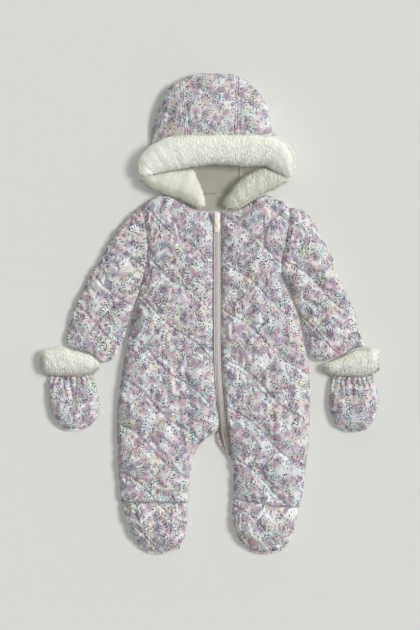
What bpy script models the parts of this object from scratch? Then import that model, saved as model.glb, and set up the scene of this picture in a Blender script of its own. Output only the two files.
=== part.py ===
"""Baby snowsuit with an attached hood, mittens and feet, lying on its back.

+Z is up, +Y runs from the feet to the hood and +X to the wearer's left.
Left and right are the wearer's. Lengths are in millimetres until a mesh is
made, which turns them into metres.
"""

import bmesh
import bpy
import numpy as np

# Driving dimensions, mm
GAP = 0.3               # between pieces sewn together
SEAM_Z = 11.0           # height of the side seam, where front and back meet
LIP = 5.0               # height of a front panel's own edge above that seam
FLOOR_ROUND = 6.0       # how far the underside's rounded edge lifts
EDGE_REACH = 27.0       # width of the rounding along an outline
SLIT = 2.6              # the most that front and back lie apart inside
PAD = 8.0               # loft of a quilted diamond above its stitching
QUILT_PITCH = 80.0      # from one stitch line to the next along Y
QUILT_SLOPE = 0.85      # rise of a stitch line for each mm across
QUILT_WAVE = 5.0        # how far a stitch line strays from straight
RIGHT_QUILT = (6.0, 46.0)   # where the quilting starts on the right front
LEFT_QUILT = (32.0, 67.0)   # and on the left front
FRONT_ROWS = 57         # of points down a front panel
FRONT_COLUMNS = 15      # of points across it
GUARD_THICK = 1.8       # chin guard, a folded patch of cloth
SLEEVE_QUILT_RIGHT = (58.0, -12.0)
SLEEVE_QUILT_LEFT = (42.0, 66.0)
SLEEVE_OUTER = 215.0    # length of a sleeve along its outer edge
SLEEVE_UNDER = 95.0     # and along the underarm
CUFF_HEIGHT = 44.0      # fur cuff, as it lies
CUFF_ROUND = 34.0       # width of the rounding at each end of a cuff
ZIP_TAPE = 6.2          # width of one tape
TAPE_TOP = 0.6          # of a tape's inner edge above the zip's line
TAPE_UNDER = 1.6        # of its underside below that line
HOOD_WALL = 7.0         # padded and lined wall of the hood
LINING = 2.0            # thickness of the fleece lining
NECK_SEAM_Y = 204.0     # where hood and body meet behind the neck
METRE = 0.001

FABRIC = (0.62, 0.55, 0.60)
PILE = (0.80, 0.81, 0.76)
FLEECE = (0.60, 0.60, 0.55)
TAPE = (0.55, 0.53, 0.50)
METAL = (0.78, 0.76, 0.72)


def table(columns, rows):
    """Rows of numbers as one array for each named column."""
    return dict(zip(columns.split(), np.array(rows, float).T))


# The body from the shoulders to the ankles: the outline (side) and the edge at
# the zip or at the inside of the leg (center), the height of the stitching, and
# how much of that height each edge holds.
RIGHT_BODY = table("y side center height side_hold center_hold", (
    (182, -118, 6.0, 27, 0.75, 0.80),
    (156, -110, 6.0, 29, 0.80, 0.80),
    (117, -105, 6.0, 30, 0.80, 0.80),
    (88, -107, 6.0, 30, 0.75, 0.80),
    (63, -113, 6.0, 30, 0.55, 0.80),
    (41, -119, 6.0, 30, 0.10, 0.80),
    (15, -125, 6.0, 30, 0.00, 0.80),
    (-36, -138, 6.0, 30, 0.00, 0.80),
    (-70, -144, 6.5, 31, 0.00, 0.80),
    (-104, -150, 8.0, 31, 0.00, 0.80),
    (-155, -156, 12.5, 31, 0.00, 0.75),
    (-189, -157, 16.0, 31, 0.00, 0.60),
    (-202, -157, 6.0, 31, 0.00, 0.35),
    (-214, -157, -8.0, 32, 0.00, 0.10),
    (-226, -156, -19.0, 32, 0.00, 0.00),
    (-245, -156, -28.0, 32, 0.00, 0.00),
    (-274, -154, -32.0, 31, 0.00, 0.00),
    (-299, -152, -34.0, 30, 0.00, 0.00),
    (-330, -149, -36.0, 30, 0.00, 0.00),
))
LEFT_BODY = table("y side center height side_hold center_hold", (
    (182, 137, 19.6, 27, 0.75, 0.80),
    (156, 135, 19.6, 29, 0.80, 0.80),
    (117, 128, 19.6, 30, 0.80, 0.80),
    (88, 123, 19.6, 30, 0.75, 0.80),
    (63, 123, 19.6, 30, 0.35, 0.80),
    (41, 132, 19.6, 30, 0.00, 0.80),
    (15, 144, 19.6, 30, 0.00, 0.80),
    (-10, 152, 19.6, 30, 0.00, 0.80),
    (-36, 158, 19.6, 30, 0.00, 0.80),
    (-70, 166, 20.0, 31, 0.00, 0.80),
    (-104, 170, 21.5, 31, 0.00, 0.80),
    (-155, 171, 26.0, 31, 0.00, 0.80),
    (-202, 169, 32.0, 32, 0.00, 0.75),
    (-226, 168, 38.5, 32, 0.00, 0.55),
    (-245, 166, 42.5, 32, 0.00, 0.30),
    (-274, 162, 42.0, 31, 0.00, 0.00),
    (-299, 159, 40.0, 30, 0.00, 0.00),
    (-330, 152, 39.0, 30, 0.00, 0.00),
))
# Edges across a panel, from its side (0) to its center (1)
RIGHT_NECKLINE = table("across y hold", (
    (0.00, 182, 0.00), (0.18, 196, 0.00), (0.30, 200, 0.05),
    (0.41, 199, 0.55), (0.60, 190, 0.80), (0.85, 175, 0.85), (1.00, 174, 0.85),
))
LEFT_NECKLINE = table("across y hold", (
    (0.00, 182, 0.00), (0.14, 193, 0.00), (0.27, 196, 0.05),
    (0.39, 200, 0.55), (0.60, 186, 0.80), (0.80, 175, 0.85), (1.00, 174, 0.85),
))
RIGHT_ANKLE = table("across y hold", ((0.0, -320, 0.85), (1.0, -320, 0.85)))
LEFT_ANKLE = table("across y hold", (
    (0.0, -328, 0.85), (0.37, -326, 0.85), (0.6, -321, 0.85),
    (0.83, -317, 0.85), (1.0, -312, 0.85),
))
# The back's own center line: the seam above the crotch, the leg's inside below
RIGHT_BACK_CENTER = table("y center", (
    (204, 13), (-199, 13), (-203, 6), (-214, -8), (-226, -19), (-245, -28),
    (-274, -32), (-299, -34), (-330, -36),
))
LEFT_BACK_CENTER = table("y center", (
    (204, 13), (-199, 13), (-214, 14), (-230, 23), (-241, 31), (-253, 37),
    (-274, 40), (-299, 40), (-330, 39),
))
RIGHT_YOKE = table("across y hold", (
    (0.00, 182, 0.0), (0.16, 196, 0.0), (0.34, 204, 0.6), (1.00, 204, 1.0),
))
LEFT_YOKE = table("across y hold", (
    (0.00, 182, 0.0), (0.15, 193, 0.0), (0.38, 204, 0.6), (1.00, 204, 1.0),
))

# Feet: from the ankle seam to the toe seam
RIGHT_FOOT = table("y side center height side_hold center_hold", (
    (-320, -149, -36.0, 30, 0, 0),
    (-342, -144, -37.0, 34, 0, 0),
    (-359, -137, -38.5, 36, 0, 0),
    (-376, -130, -42.0, 36, 0, 0),
    (-389, -122, -48.0, 33, 0, 0),
    (-394, -118, -50.0, 30, 0, 0),
))
LEFT_FOOT = table("y side center height side_hold center_hold", (
    (-312, 155, 39.0, 30, 0, 0),
    (-328, 152, 38.5, 31, 0, 0),
    (-342, 149, 38.5, 34, 0, 0),
    (-364, 144, 42.0, 36, 0, 0),
    (-381, 137, 49.0, 36, 0, 0),
    (-391, 132, 55.0, 32, 0, 0),
))
RIGHT_TOE = table("across y hold", (
    (0.00, -393, 0.0), (0.25, -402, 0.0), (0.50, -404, 0.0),
    (0.75, -402, 0.0), (1.00, -394, 0.0),
))
LEFT_TOE = table("across y hold", (
    (0.00, -392, 0.0), (0.25, -402, 0.0), (0.50, -404, 0.0),
    (0.75, -400, 0.0), (1.00, -388, 0.0),
))
SOLE_SHOWS = 4.0        # of the sole past the toe seam

# Sleeves from the armhole to the hem: the outer edge and the underarm edge
RIGHT_SLEEVE = table("outer_x outer_y under_x under_y height", (
    (-118, 181, -119, 42, 28), (-137, 165, -121, 36, 30),
    (-154, 144, -124, 27, 30), (-172, 118, -128, 16, 30),
    (-187, 94, -132, 3, 29), (-201, 70, -136, -10, 28),
    (-213, 44, -140, -24, 28), (-224, 21, -144, -37, 27),
    (-233, -2, -149, -48, 27), (-239, -26, -153, -57, 26),
    (-242, -44, -157, -66, 26), (-239, -56, -162, -75, 25),
))
LEFT_SLEEVE = table("outer_x outer_y under_x under_y height", (
    (137, 181, 124, 64, 28), (154, 176, 128, 58, 30),
    (169, 163, 133, 48, 30), (183, 141, 138, 37, 30),
    (195, 120, 143, 26, 30), (206, 100, 147, 14, 29),
    (216, 78, 152, 1, 28), (227, 53, 156, -12, 28),
    (238, 29, 159, -25, 27), (246, 3, 162, -37, 27),
    (253, -22, 165, -50, 26), (260, -46, 168, -61, 26),
    (266, -55, 176, -73, 25),
))
RIGHT_HEM = table("x y", (
    (-239, -56), (-220, -61), (-203, -65), (-190, -75), (-181, -82),
    (-169, -80), (-162, -75),
))
LEFT_HEM = table("x y", (
    (266, -55), (252, -56), (239, -61), (222, -70), (205, -76),
    (191, -80), (176, -73),
))

# Fur cuffs: the edge toward the sleeve (upper) and the one toward the mitten
RIGHT_CUFF = table("x upper lower", (
    (-291.5, -72, -79), (-287, -61, -91), (-276, -57, -102), (-256, -54, -106),
    (-244, -53.5, -106), (-239, -57.5, -106), (-220, -62.4, -106),
    (-203, -66.6, -102), (-190, -77, -92), (-184, -83, -87),
))
LEFT_CUFF = table("x upper lower", (
    (291.5, -73, -80), (286, -57, -94), (272, -54, -103), (267, -58, -105),
    (252, -58.5, -107), (239, -62.6, -107), (222, -71.6, -106),
    (205, -78, -102), (191, -82, -93), (187, -84, -88),
))
# Mittens from the wrist to the tip
RIGHT_MITTEN = table("y near far height", (
    (-107, -270, -200, 20), (-114, -273, -196, 22), (-121, -275, -193, 21),
    (-133, -274, -189, 24), (-146, -273, -187, 25), (-160, -271, -186, 25),
    (-171, -268, -188, 24), (-184, -261, -197, 21), (-192, -253, -206, 17),
    (-198, -241, -217, 12),
))
LEFT_MITTEN = table("y near far height", (
    (-107, 209, 276, 20), (-114, 206, 279, 22), (-122, 204, 283, 21),
    (-134, 203, 286, 24), (-147, 202, 288, 25), (-160, 203, 287, 25),
    (-175, 207, 282, 24), (-187, 213, 274, 21), (-195, 223, 266, 17),
    (-200, 236, 252, 12),
))
GATHERS = 7             # folds drawn in at each wrist
GATHER_RISE = 2.2       # height of one, mm

# The hood, fanned from its right corner over the top to its left corner: the
# outline, the edge at the fur with its height, and the foot at the neck seam.
HOOD = table("out_x out_y front_x front_y front_z foot_x", (
    (-89, 212, -82, 216, 10, -71),
    (-106, 228, -97, 230, 10, -62),
    (-113, 252, -103, 252, 10, -52),
    (-109, 274, -98, 272, 11, -43),
    (-101, 291, -90, 288, 13, -38),
    (-96, 320, -79, 297.5, 26, -33),
    (-87, 348, -67, 301, 38, -28),
    (-71, 381, -52, 303.6, 45, -21),
    (-48, 398, -38, 304.6, 48, -14),
    (-20, 406, -16, 305, 49, -3),
    (4, 407.7, 6, 305, 50, 9),
    (28, 407.7, 28, 305, 50, 21),
    (49, 404, 46, 305, 48, 33),
    (70, 390, 64, 305, 46, 40),
    (86, 371, 79, 305, 43, 47),
    (99, 347, 93, 304.6, 38, 54),
    (107, 321, 103, 303.6, 27, 60),
    (118, 299, 108, 294, 13, 65),
    (130, 282, 119, 279, 11, 71),
    (135, 257, 125, 256, 10, 76),
    (128, 233, 119, 235, 10, 82),
    (111, 214, 104, 218, 10, 89),
))
HOOD_SEAMS = (8, 12)    # rows of HOOD where the side panels meet the center
HOOD_ROLL = 14.0        # radius at which the hood turns under

# Fur rolls: outer edge, inner edge, middle height and half the height
FUR_TOP = table("outer_x outer_y inner_x inner_y z half", (
    (-118, 237, -108, 233, 33, 14), (-122, 246, -95, 236.4, 33, 17),
    (-119, 265, -81, 239.8, 34, 19), (-105, 281, -66, 242.4, 37, 20),
    (-84, 294, -49, 245.2, 40, 20), (-59, 300.6, -35, 248, 42, 20),
    (-25, 303.4, -14, 251, 43, 20), (11, 304, 14, 253, 43, 20),
    (48, 304, 42, 251, 43, 20), (81, 303.6, 65, 249.4, 42, 20),
    (105, 302, 84, 251, 40, 20), (123, 296, 96, 250.6, 38, 20),
    (137, 281, 106, 244, 36, 20), (144, 262, 118, 237.6, 34, 19),
    (144, 245, 128, 232.4, 33, 17), (139, 234.4, 133, 230, 33, 13),
))
FUR_RIGHT = table("outer_x outer_y inner_x inner_y z half", (
    (-117, 226, -108, 231.6, 31, 13), (-106, 217, -90, 236, 32, 17),
    (-93, 210, -70, 239.8, 32, 18), (-79, 205, -48, 243.2, 32, 18),
    (-64, 200, -31, 243.4, 32, 18), (-50, 194.6, -20, 229, 32, 18),
    (-38, 188.4, -14, 215, 32, 18), (-28, 183, -9, 199, 31, 17),
    (-21, 179.6, -5, 184, 30, 14),
))
FUR_LEFT = table("outer_x outer_y inner_x inner_y z half", (
    (135, 225, 129, 229, 31, 13), (125, 219, 117, 235.4, 32, 17),
    (115, 213, 104, 242, 32, 18), (103, 207, 90, 246, 32, 18),
    (89, 201.6, 70, 239.6, 32, 18), (76, 194.6, 54, 230, 32, 18),
    (64, 188, 41, 216, 32, 18), (54, 182.6, 31, 202, 31, 17),
    (45, 179, 18, 185, 30, 14),
))

# The zip's center line and the height of its tapes
ZIP = table("y x z", (
    (172, 12.8, 25), (143, 12.8, 27), (90, 12.8, 28), (-53, 12.8, 28),
    (-104, 14.6, 28.6), (-155, 19.2, 28), (-189, 23.2, 27), (-214, 28.0, 25.5),
    (-230, 32.2, 23), (-245, 35.4, 19.5), (-258, 35.6, 16),
))
SLIDER_Y = 147.0        # middle of the slider
SLIDER_LENGTH = 17.0
SLIDER_WIDTH = 10.5
SLIDER_HEIGHT = 3.6
BRIDGE_WIDTH = 2.4      # the slider's bridge, which holds the pull
BRIDGE_RISE = 4.2
BRIDGE_TOP = 1.2        # thickness of the bridge over its window
PULL_LENGTH = 21.0
PULL_WIDTH = 8.6
PULL_THICK = 1.8
PULL_RISE = 1.5         # of the pull's middle above the slider's plate
PULL_BAR = 0.8          # half the bar of the pull that the bridge holds

# Fleece that shows in the neck: corners, x and y
HOOD_LINING = ((-46, 272), (82, 272), (82, 205), (-46, 205))
NECK_LINING = ((-62, 203), (84, 203), (48, 182), (-24, 182))

# Largest soft creases: ends, half width and depth
CREASES = table("x0 y0 x1 y1 width depth", (
    (-189, 41, -165, 4, 9, 4.0), (-222, 15, -190, -14, 8, 3.5),
    (-138, 98, -128, 52, 8, 3.5), (-236, -30, -205, -38, 7, 3.0),
    (154, 112, 138, 66, 8, 4.0), (214, 74, 176, 40, 9, 4.0),
    (244, 8, 205, -12, 8, 3.5), (258, -36, 216, -46, 7, 3.0),
    (-2, -188, -60, -160, 9, 3.0), (34, -186, 88, -150, 9, 3.0),
    (-60, -226, -112, -196, 9, 3.0), (58, -250, 118, -214, 9, 3.5),
))


def smooth(positions, values, at):
    """Values along a table's first column, by a cubic that never overshoots."""
    order = np.argsort(positions)
    x, y = positions[order], values[order]
    step = np.diff(x)
    slope = np.diff(y) / step
    same_way = slope[:-1] * slope[1:] > 0
    bend = np.where(same_way, slope[:-1] * slope[1:], 0)
    total = np.where(same_way, slope[:-1] + slope[1:], 1)
    tangent = np.concatenate([slope[:1], 2 * bend / total, slope[-1:]])
    at = np.clip(at, x[0], x[-1])
    k = np.clip(np.searchsorted(x, at) - 1, 0, len(step) - 1)
    t = (at - x[k]) / step[k]
    rise = y[k + 1] - y[k]
    a = tangent[k] * step[k] - rise
    b = rise - tangent[k + 1] * step[k]
    return y[k] + t * rise + t * (1 - t) * (a * (1 - t) + b * t)


def spread(count, crowding=0.6):
    """Positions from 0 to 1, closer together near both ends."""
    even = np.linspace(0, 1, count)
    return (1 - crowding) * even + crowding * (1 - np.cos(np.pi * even)) / 2


def rise(distance, reach=EDGE_REACH):
    """The rounding of an edge: 0 on the edge itself, 1 beyond its reach."""
    t = np.clip(distance / reach, 0, 1)
    return np.sqrt(1 - (1 - t) ** 2)


def held(hold, distance, reach=EDGE_REACH):
    """The share of full height near an edge that holds some of it."""
    return hold + (1 - hold) * rise(distance, reach)


def diamonds(x, y, phase_down, phase_up):
    """1 in the middle of a quilted diamond, 0 along its stitching."""
    wave = QUILT_WAVE * np.sin(2 * np.pi * x / 95)
    down = (y + QUILT_SLOPE * x + wave - phase_down) / QUILT_PITCH
    up = (y - QUILT_SLOPE * x - wave - phase_up) / QUILT_PITCH
    inside = np.abs(np.sin(np.pi * down)) * np.abs(np.sin(np.pi * up))
    return inside ** 0.45


def creases(x, y):
    """Depth of the large creases at each place."""
    depth = np.zeros_like(x)
    for x0, y0, x1, y1, width, deep in zip(*CREASES.values()):
        run = np.array((x1 - x0, y1 - y0))
        along = ((x - x0) * run[0] + (y - y0) * run[1]) / run.dot(run)
        near = np.clip(along, 0, 1)
        away = np.hypot(x - x0 - near * run[0], y - y0 - near * run[1])
        depth += deep * np.exp(-(away / width) ** 2) * (1 - (2 * near - 1) ** 4)
    return depth


class Solid:
    """A closed mesh put together from grids and the strips between them."""

    def __init__(self):
        self.points = []
        self.faces = []

    def add(self, points):
        """Adds a grid or a loop of points and returns their numbers."""
        flat = np.reshape(points, (-1, 3))
        start = len(self.points)
        self.points.extend(map(tuple, flat))
        return np.arange(start, start + len(flat)).reshape(np.shape(points)[:-1])

    def skin(self, grid, round_=False):
        """Faces over a grid; round_ joins its last column to its first."""
        if round_:
            grid = np.concatenate([grid, grid[:, :1]], axis=1)
        for upper, lower in zip(grid[:-1], grid[1:]):
            for k in range(len(upper) - 1):
                self.faces.append((upper[k], upper[k + 1], lower[k + 1], lower[k]))

    def stitch(self, first, first_at, second, second_at, length):
        """A strip of triangles between two loops that run the same way."""
        i = j = 0
        first_at = np.append(first_at, length)
        second_at = np.append(second_at, length)
        while i < len(first) or j < len(second):
            a, b = first[i % len(first)], second[j % len(second)]
            step_first = j == len(second)
            if i < len(first) and j < len(second):
                step_first = first_at[i + 1] <= second_at[j + 1]
            if step_first:
                i += 1
                self.faces.append((a, first[i % len(first)], b))
            else:
                j += 1
                self.faces.append((b, a, second[j % len(second)]))

    def build(self, name, colour, roughness=0.9, metallic=0.0):
        """Makes the object with its faces turned outward and its material."""
        bm = bmesh.new()
        corners = [bm.verts.new(np.array(point) * METRE) for point in self.points]
        for face in self.faces:
            bm.faces.new([corners[k] for k in face])
        bmesh.ops.recalc_face_normals(bm, faces=bm.faces)
        mesh = bpy.data.meshes.new(name)
        bm.to_mesh(mesh)
        bm.free()
        mesh.shade_smooth()
        mesh.set_sharp_from_angle(angle=np.radians(50))
        mesh.materials.append(material(name, colour, roughness, metallic))
        made = bpy.data.objects.new(name, mesh)
        bpy.context.scene.collection.objects.link(made)
        return made


def material(name, colour, roughness, metallic):
    made = bpy.data.materials.new(name)
    made.use_nodes = True
    shader = made.node_tree.nodes["Principled BSDF"]
    shader.inputs["Base Color"].default_value = (*colour, 1)
    shader.inputs["Roughness"].default_value = roughness
    shader.inputs["Metallic"].default_value = metallic
    return made


def border(grid):
    """The outer ring of a grid of numbers, and each one's place from 0 to 4."""
    sides = (grid[0, :-1], grid[:-1, -1], grid[-1, :0:-1], grid[:0:-1, 0])
    places = [k + np.linspace(0, 1, len(side), endpoint=False)
              for k, side in enumerate(sides)]
    return np.concatenate(sides), np.concatenate(places)


def wall(name, outer, inner, colour):
    """A panel: an outer and an inner skin, joined round the edge."""
    solid = Solid()
    outside, inside = solid.add(outer), solid.add(inner)
    solid.skin(outside)
    solid.skin(inside)
    solid.stitch(*border(outside), *border(inside), 4)
    return solid.build(name, colour)


def tube(name, outer, outer_at, inner, inner_at, colour, closed_end=False):
    """A tube of rings, open right through, or closed at its last ring."""
    solid = Solid()
    outside, inside = solid.add(outer), solid.add(inner)
    solid.skin(outside, round_=True)
    solid.skin(inside, round_=True)
    solid.stitch(outside[0], outer_at, inside[0], inner_at, 2)
    if closed_end:
        solid.faces.append(tuple(outside[-1]))
        solid.faces.append(tuple(inside[-1]))
    else:
        solid.stitch(outside[-1], outer_at, inside[-1], inner_at, 2)
    return solid.build(name, colour)


class Panel:
    """A flat-cut panel between a side edge, a center edge and two ends."""

    def __init__(self, rows, top, bottom, phases, center=None):
        self.rows, self.top, self.bottom, self.phases = rows, top, bottom, phases
        self.center = center or rows
        self.inward = np.sign(rows["center"].mean() - rows["side"].mean())

    def side_x(self, y):
        return smooth(self.rows["y"], self.rows["side"], y)

    def plan(self, down, across):
        """Places on the panel, with the distance to each of its four edges."""
        down, across = np.meshgrid(down, across, indexing="ij")
        top = smooth(self.top["across"], self.top["y"], across) - GAP / 2
        bottom = smooth(self.bottom["across"], self.bottom["y"], across) + GAP / 2
        y = top + (bottom - top) * down
        side = self.side_x(y) + self.inward * GAP / 2
        center = smooth(self.center["y"], self.center["center"], y)
        center = center - self.inward * GAP / 2
        x = side + (center - side) * across
        width = np.abs(center - side)
        edges = (across * width, (1 - across) * width,
                 down * (top - bottom), (1 - down) * (top - bottom))
        return x, y, across, edges

    def fullness(self, y, across, edges, reach=EDGE_REACH):
        """The share of full height that the four edges leave."""
        to_side, to_center, to_top, to_bottom = edges
        side_hold = smooth(self.rows["y"], self.rows["side_hold"], y)
        center_hold = smooth(self.rows["y"], self.rows["center_hold"], y)
        top_hold = smooth(self.top["across"], self.top["hold"], across)
        bottom_hold = smooth(self.bottom["across"], self.bottom["hold"], across)
        return (held(side_hold, to_side, reach) * held(center_hold, to_center, reach)
                * held(top_hold, to_top, reach) * held(bottom_hold, to_bottom, reach))

    def upper(self, down, across):
        """The quilted outer face of a front or of a foot's upper."""
        x, y, across, edges = self.plan(down, across)
        full = self.fullness(y, across, edges)
        height = smooth(self.rows["y"], self.rows["height"], y)
        base = SEAM_Z + LIP
        fade = np.clip(np.minimum.reduce(edges) / 24, 0, 1) ** 0.7
        z = base + (height - base) * full
        z += fade * (PAD * diamonds(x, y, *self.phases) - creases(x, y))
        return np.stack([x, y, z], axis=-1)

    def inside_upper(self, down, across):
        """The plain inner face under it, just clear of the back."""
        x, y, across, edges = self.plan(down, across)
        apart = np.clip(np.minimum.reduce(edges) / 40, 0, 1)
        return np.stack([x, y, SEAM_Z + GAP / 2 + SLIT * apart], axis=-1)

    def under(self, down, across):
        """The face on the floor, rounded up at the outline."""
        x, y, across, edges = self.plan(down, across)
        full = self.fullness(y, across, edges, reach=2 * FLOOR_ROUND)
        return np.stack([x, y, FLOOR_ROUND * (1 - full)], axis=-1)

    def inside_under(self, down, across):
        x, y, across, edges = self.plan(down, across)
        return np.stack([x, y, np.full_like(x, SEAM_Z - GAP / 2)], axis=-1)

    def make_upper(self, name, rows, columns, inner_columns):
        down = np.linspace(0, 1, rows)
        wall(name, self.upper(down, spread(columns)),
             self.inside_upper(down, spread(inner_columns)), FABRIC)

    def make_under(self, name, rows, columns, inner_columns):
        down = np.linspace(0, 1, rows)
        wall(name, self.under(down, spread(columns)),
             self.inside_under(down, spread(inner_columns)), FABRIC)


def shifted(rows, **moves):
    """A copy of a table with some columns moved."""
    return {name: column + moves.get(name, 0) for name, column in rows.items()}


def ring(top_plan, low_plan, top_z, low_z):
    """A closed ring from points over the top and back along the floor."""
    top = np.concatenate([top_plan, top_z[..., None]], axis=-1)
    low = np.concatenate([low_plan, low_z[..., None]], axis=-1)
    return np.concatenate([top, low], axis=-2)


def ring_places(top_across, low_across):
    """Place of each ring point from 0 to 2: over the top, then back below."""
    return np.concatenate([top_across, 2 - low_across])


class FlatTube:
    """A sleeve, cuff or mitten that lies flat: rings across, one after another."""

    def __init__(self, plan, height, hold_start, hold_end, reach, loft):
        self.plan, self.height, self.reach, self.loft = plan, height, reach, loft
        self.hold_start, self.hold_end = hold_start, hold_end

    def rings(self, along, top_across, low_across):
        """The outer rings at some places along the tube."""
        places = np.concatenate([top_across, low_across])
        x, y, width, from_start, to_end = self.plan(along, places)
        t = np.broadcast_to(places, x.shape)
        near = np.minimum(t, 1 - t) * width
        ends = held(self.hold_start, from_start, 20) * held(self.hold_end, to_end, 20)
        n = len(top_across)
        base = SEAM_Z + LIP
        height = self.height(along)[:, None]
        top = base * np.minimum(1, 0.3 + 0.7 * ends) + (height - base) * (
            rise(near, self.reach) * ends)
        fade = np.clip(np.minimum.reduce([near, from_start, to_end]) / 22, 0, 1) ** 0.7
        top = top + fade * self.loft(x, y)
        low = FLOOR_ROUND * (1 - rise(near, 2 * FLOOR_ROUND))
        flat = np.stack([x, y], axis=-1)
        return ring(flat[:, :n], flat[:, n:], top[:, :n], low[:, n:])

    def slit(self, along, top_across, low_across):
        """The inner rings: the two layers lie close to each other."""
        places = np.concatenate([top_across, low_across])
        x, y, *_ = self.plan(along, places)
        n = len(top_across)
        flat = np.stack([x, y], axis=-1)
        high = np.full(x[:, :n].shape, SEAM_Z + SLIT / 2)
        low = np.full(x[:, n:].shape, SEAM_Z - SLIT / 2)
        return ring(flat[:, :n], flat[:, n:], high, low)

    def make(self, name, rings, top_count, low_count, inner_rings, colour,
             inner_from=0.16, inner_until=1.0, closed_end=False):
        top = spread(top_count)
        low = 1 - spread(low_count)
        inner_top = np.linspace(inner_from, 1 - inner_from, 4)
        inner_low = inner_top[::-1]
        tube(name,
             self.rings(np.linspace(0, 1, rings), top, low), ring_places(top, low),
             self.slit(np.linspace(0, inner_until, inner_rings), inner_top, inner_low),
             ring_places(inner_top, inner_low), colour, closed_end)


def sleeve(name, rows, body, hem, phases):
    """A set-in sleeve from the body's armhole to its hem over the cuff."""
    count = len(rows["height"])
    station = np.linspace(0, 1, count)
    outward = -body.inward

    def plan(along, across):
        along, across = np.meshgrid(along, across, indexing="ij")
        outer_x, outer_y, under_x, under_y = (
            smooth(station, rows[name_], along)
            for name_ in ("outer_x", "outer_y", "under_x", "under_y"))
        x = outer_x + (under_x - outer_x) * across
        y = outer_y + (under_y - outer_y) * across
        first_x = rows["outer_x"][0] * (1 - across) + rows["under_x"][0] * across
        first_y = rows["outer_y"][0] * (1 - across) + rows["under_y"][0] * across
        armhole = body.side_x(first_y) + outward * 3 * GAP
        x += (armhole - first_x) * np.clip(1 - along / 0.4, 0, 1) ** 1.5
        last_x = rows["outer_x"][-1] * (1 - across) + rows["under_x"][-1] * across
        last_y = rows["outer_y"][-1] * (1 - across) + rows["under_y"][-1] * across
        drop = smooth(hem["x"], hem["y"], last_x) - last_y
        y += drop * np.clip((along - 0.7) / 0.3, 0, 1) ** 2
        width = np.hypot(under_x - outer_x, under_y - outer_y)
        length = SLEEVE_OUTER + (SLEEVE_UNDER - SLEEVE_OUTER) * across
        return x, y, width, along * length, (1 - along) * length

    def height(along):
        return smooth(station, rows["height"], along)

    def loft(x, y):
        return (PAD - 1) * diamonds(x, y, *phases) - creases(x, y)

    flat_tube = FlatTube(plan, height, 0.75, 0.8, EDGE_REACH, loft)
    flat_tube.make(name, 23, 15, 6, 9, FABRIC)


def cuff(name, rows):
    """A turned-back band of fur round the wrist."""
    ends = rows["x"][0], rows["x"][-1]

    def plan(along, across):
        along, across = np.meshgrid(along, across, indexing="ij")
        x = ends[0] + (ends[1] - ends[0]) * across
        upper = smooth(rows["x"], rows["upper"], x)
        lower = smooth(rows["x"], rows["lower"], x)
        y = upper + (lower - upper) * along
        width = np.full_like(x, abs(ends[1] - ends[0]))
        deep = upper - lower
        return x, y, width, along * deep, (1 - along) * deep

    def height(along):
        return np.full_like(along, CUFF_HEIGHT)

    def loft(x, y):
        return np.zeros_like(x)

    flat_tube = FlatTube(plan, height, 0.45, 0.35, CUFF_ROUND, loft)
    flat_tube.make(name, 7, 17, 8, 3, PILE, inner_from=0.2)


def mitten(name, rows, cuff_rows):
    """A mitten, gathered where it leaves the cuff and closed at its tip."""
    length = rows["y"][0] - rows["y"][-1]
    middle = (rows["near"][0] + rows["far"][0]) / 2
    half = abs(rows["far"][0] - rows["near"][0]) / 2

    def plan(along, across):
        along, across = np.meshgrid(along, across, indexing="ij")
        y = rows["y"][0] - length * along
        near = smooth(rows["y"], rows["near"], y)
        far = smooth(rows["y"], rows["far"], y)
        x = near + (far - near) * across
        wrist = smooth(cuff_rows["x"], cuff_rows["lower"], x) - 3 * GAP
        y += (wrist - rows["y"][0]) * np.clip(1 - along / 0.25, 0, 1) ** 2
        tip = length * (1 - along)
        return x, y, far - near, along * length + 12, tip

    def height(along):
        return smooth(rows["y"], rows["height"], rows["y"][0] - length * along)

    def loft(x, y):
        wrist = np.clip(1 - (rows["y"][0] - y) / 30, 0, 1)
        across = (x - middle) / half
        return GATHER_RISE * wrist * np.cos(np.pi * GATHERS * across)

    flat_tube = FlatTube(plan, height, 0.5, 0.3, 24, loft)
    flat_tube.make(name, 11, 29, 6, 4, FABRIC, inner_from=0.22,
                   inner_until=0.72, closed_end=True)


def hood_faces():
    """The hood's outer and inner faces, one meridian for each row of HOOD."""
    lines, thickness = [], []
    for row in range(len(HOOD["out_x"])):
        out = np.array((HOOD["out_x"][row], HOOD["out_y"][row]))
        front = np.array((HOOD["front_x"][row], HOOD["front_y"][row]))
        foot = np.array((HOOD["foot_x"][row], NECK_SEAM_Y + GAP / 2))
        top_z = HOOD["front_z"][row]
        mid_z = 0.42 * top_z
        roll = min(HOOD_ROLL, 0.6 * top_z)
        inward = (foot - out) / np.linalg.norm(foot - out)
        line = []
        for t in np.linspace(0, 1, 8):
            place = front + (out - front) * np.sin(t * np.pi / 2)
            t = np.sin(t * np.pi / 2)
            line.append((*place, mid_z + (top_z - mid_z) * (1 - t ** 2.6) ** (1 / 2.6)))
        for turn in np.radians((30, 60, 90)):
            place = out + inward * roll * (1 - np.cos(turn))
            line.append((*place, mid_z * (1 - np.sin(turn))))
        start = out + inward * roll
        for t in np.linspace(0, 1, 5)[1:]:
            line.append((*(start + (foot - start) * t), 0))
        lines.append(line)
        thickness.append(min(HOOD_WALL, 0.34 * top_z))
    outer = np.array(lines)
    normal = np.cross(np.gradient(outer, axis=0), np.gradient(outer, axis=1))
    normal /= np.linalg.norm(normal, axis=-1, keepdims=True)
    return outer, outer - normal * np.array(thickness)[:, None, None]


def narrowed(lines):
    """Moves the first and last meridians inward, to leave a gap at a seam."""
    lines = lines.copy()
    for edge, neighbour in ((0, 1), (-1, -2)):
        toward = lines[neighbour] - lines[edge]
        toward /= np.maximum(np.linalg.norm(toward, axis=-1, keepdims=True), 1)
        lines[edge] += toward * 2 * GAP
    return lines


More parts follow.
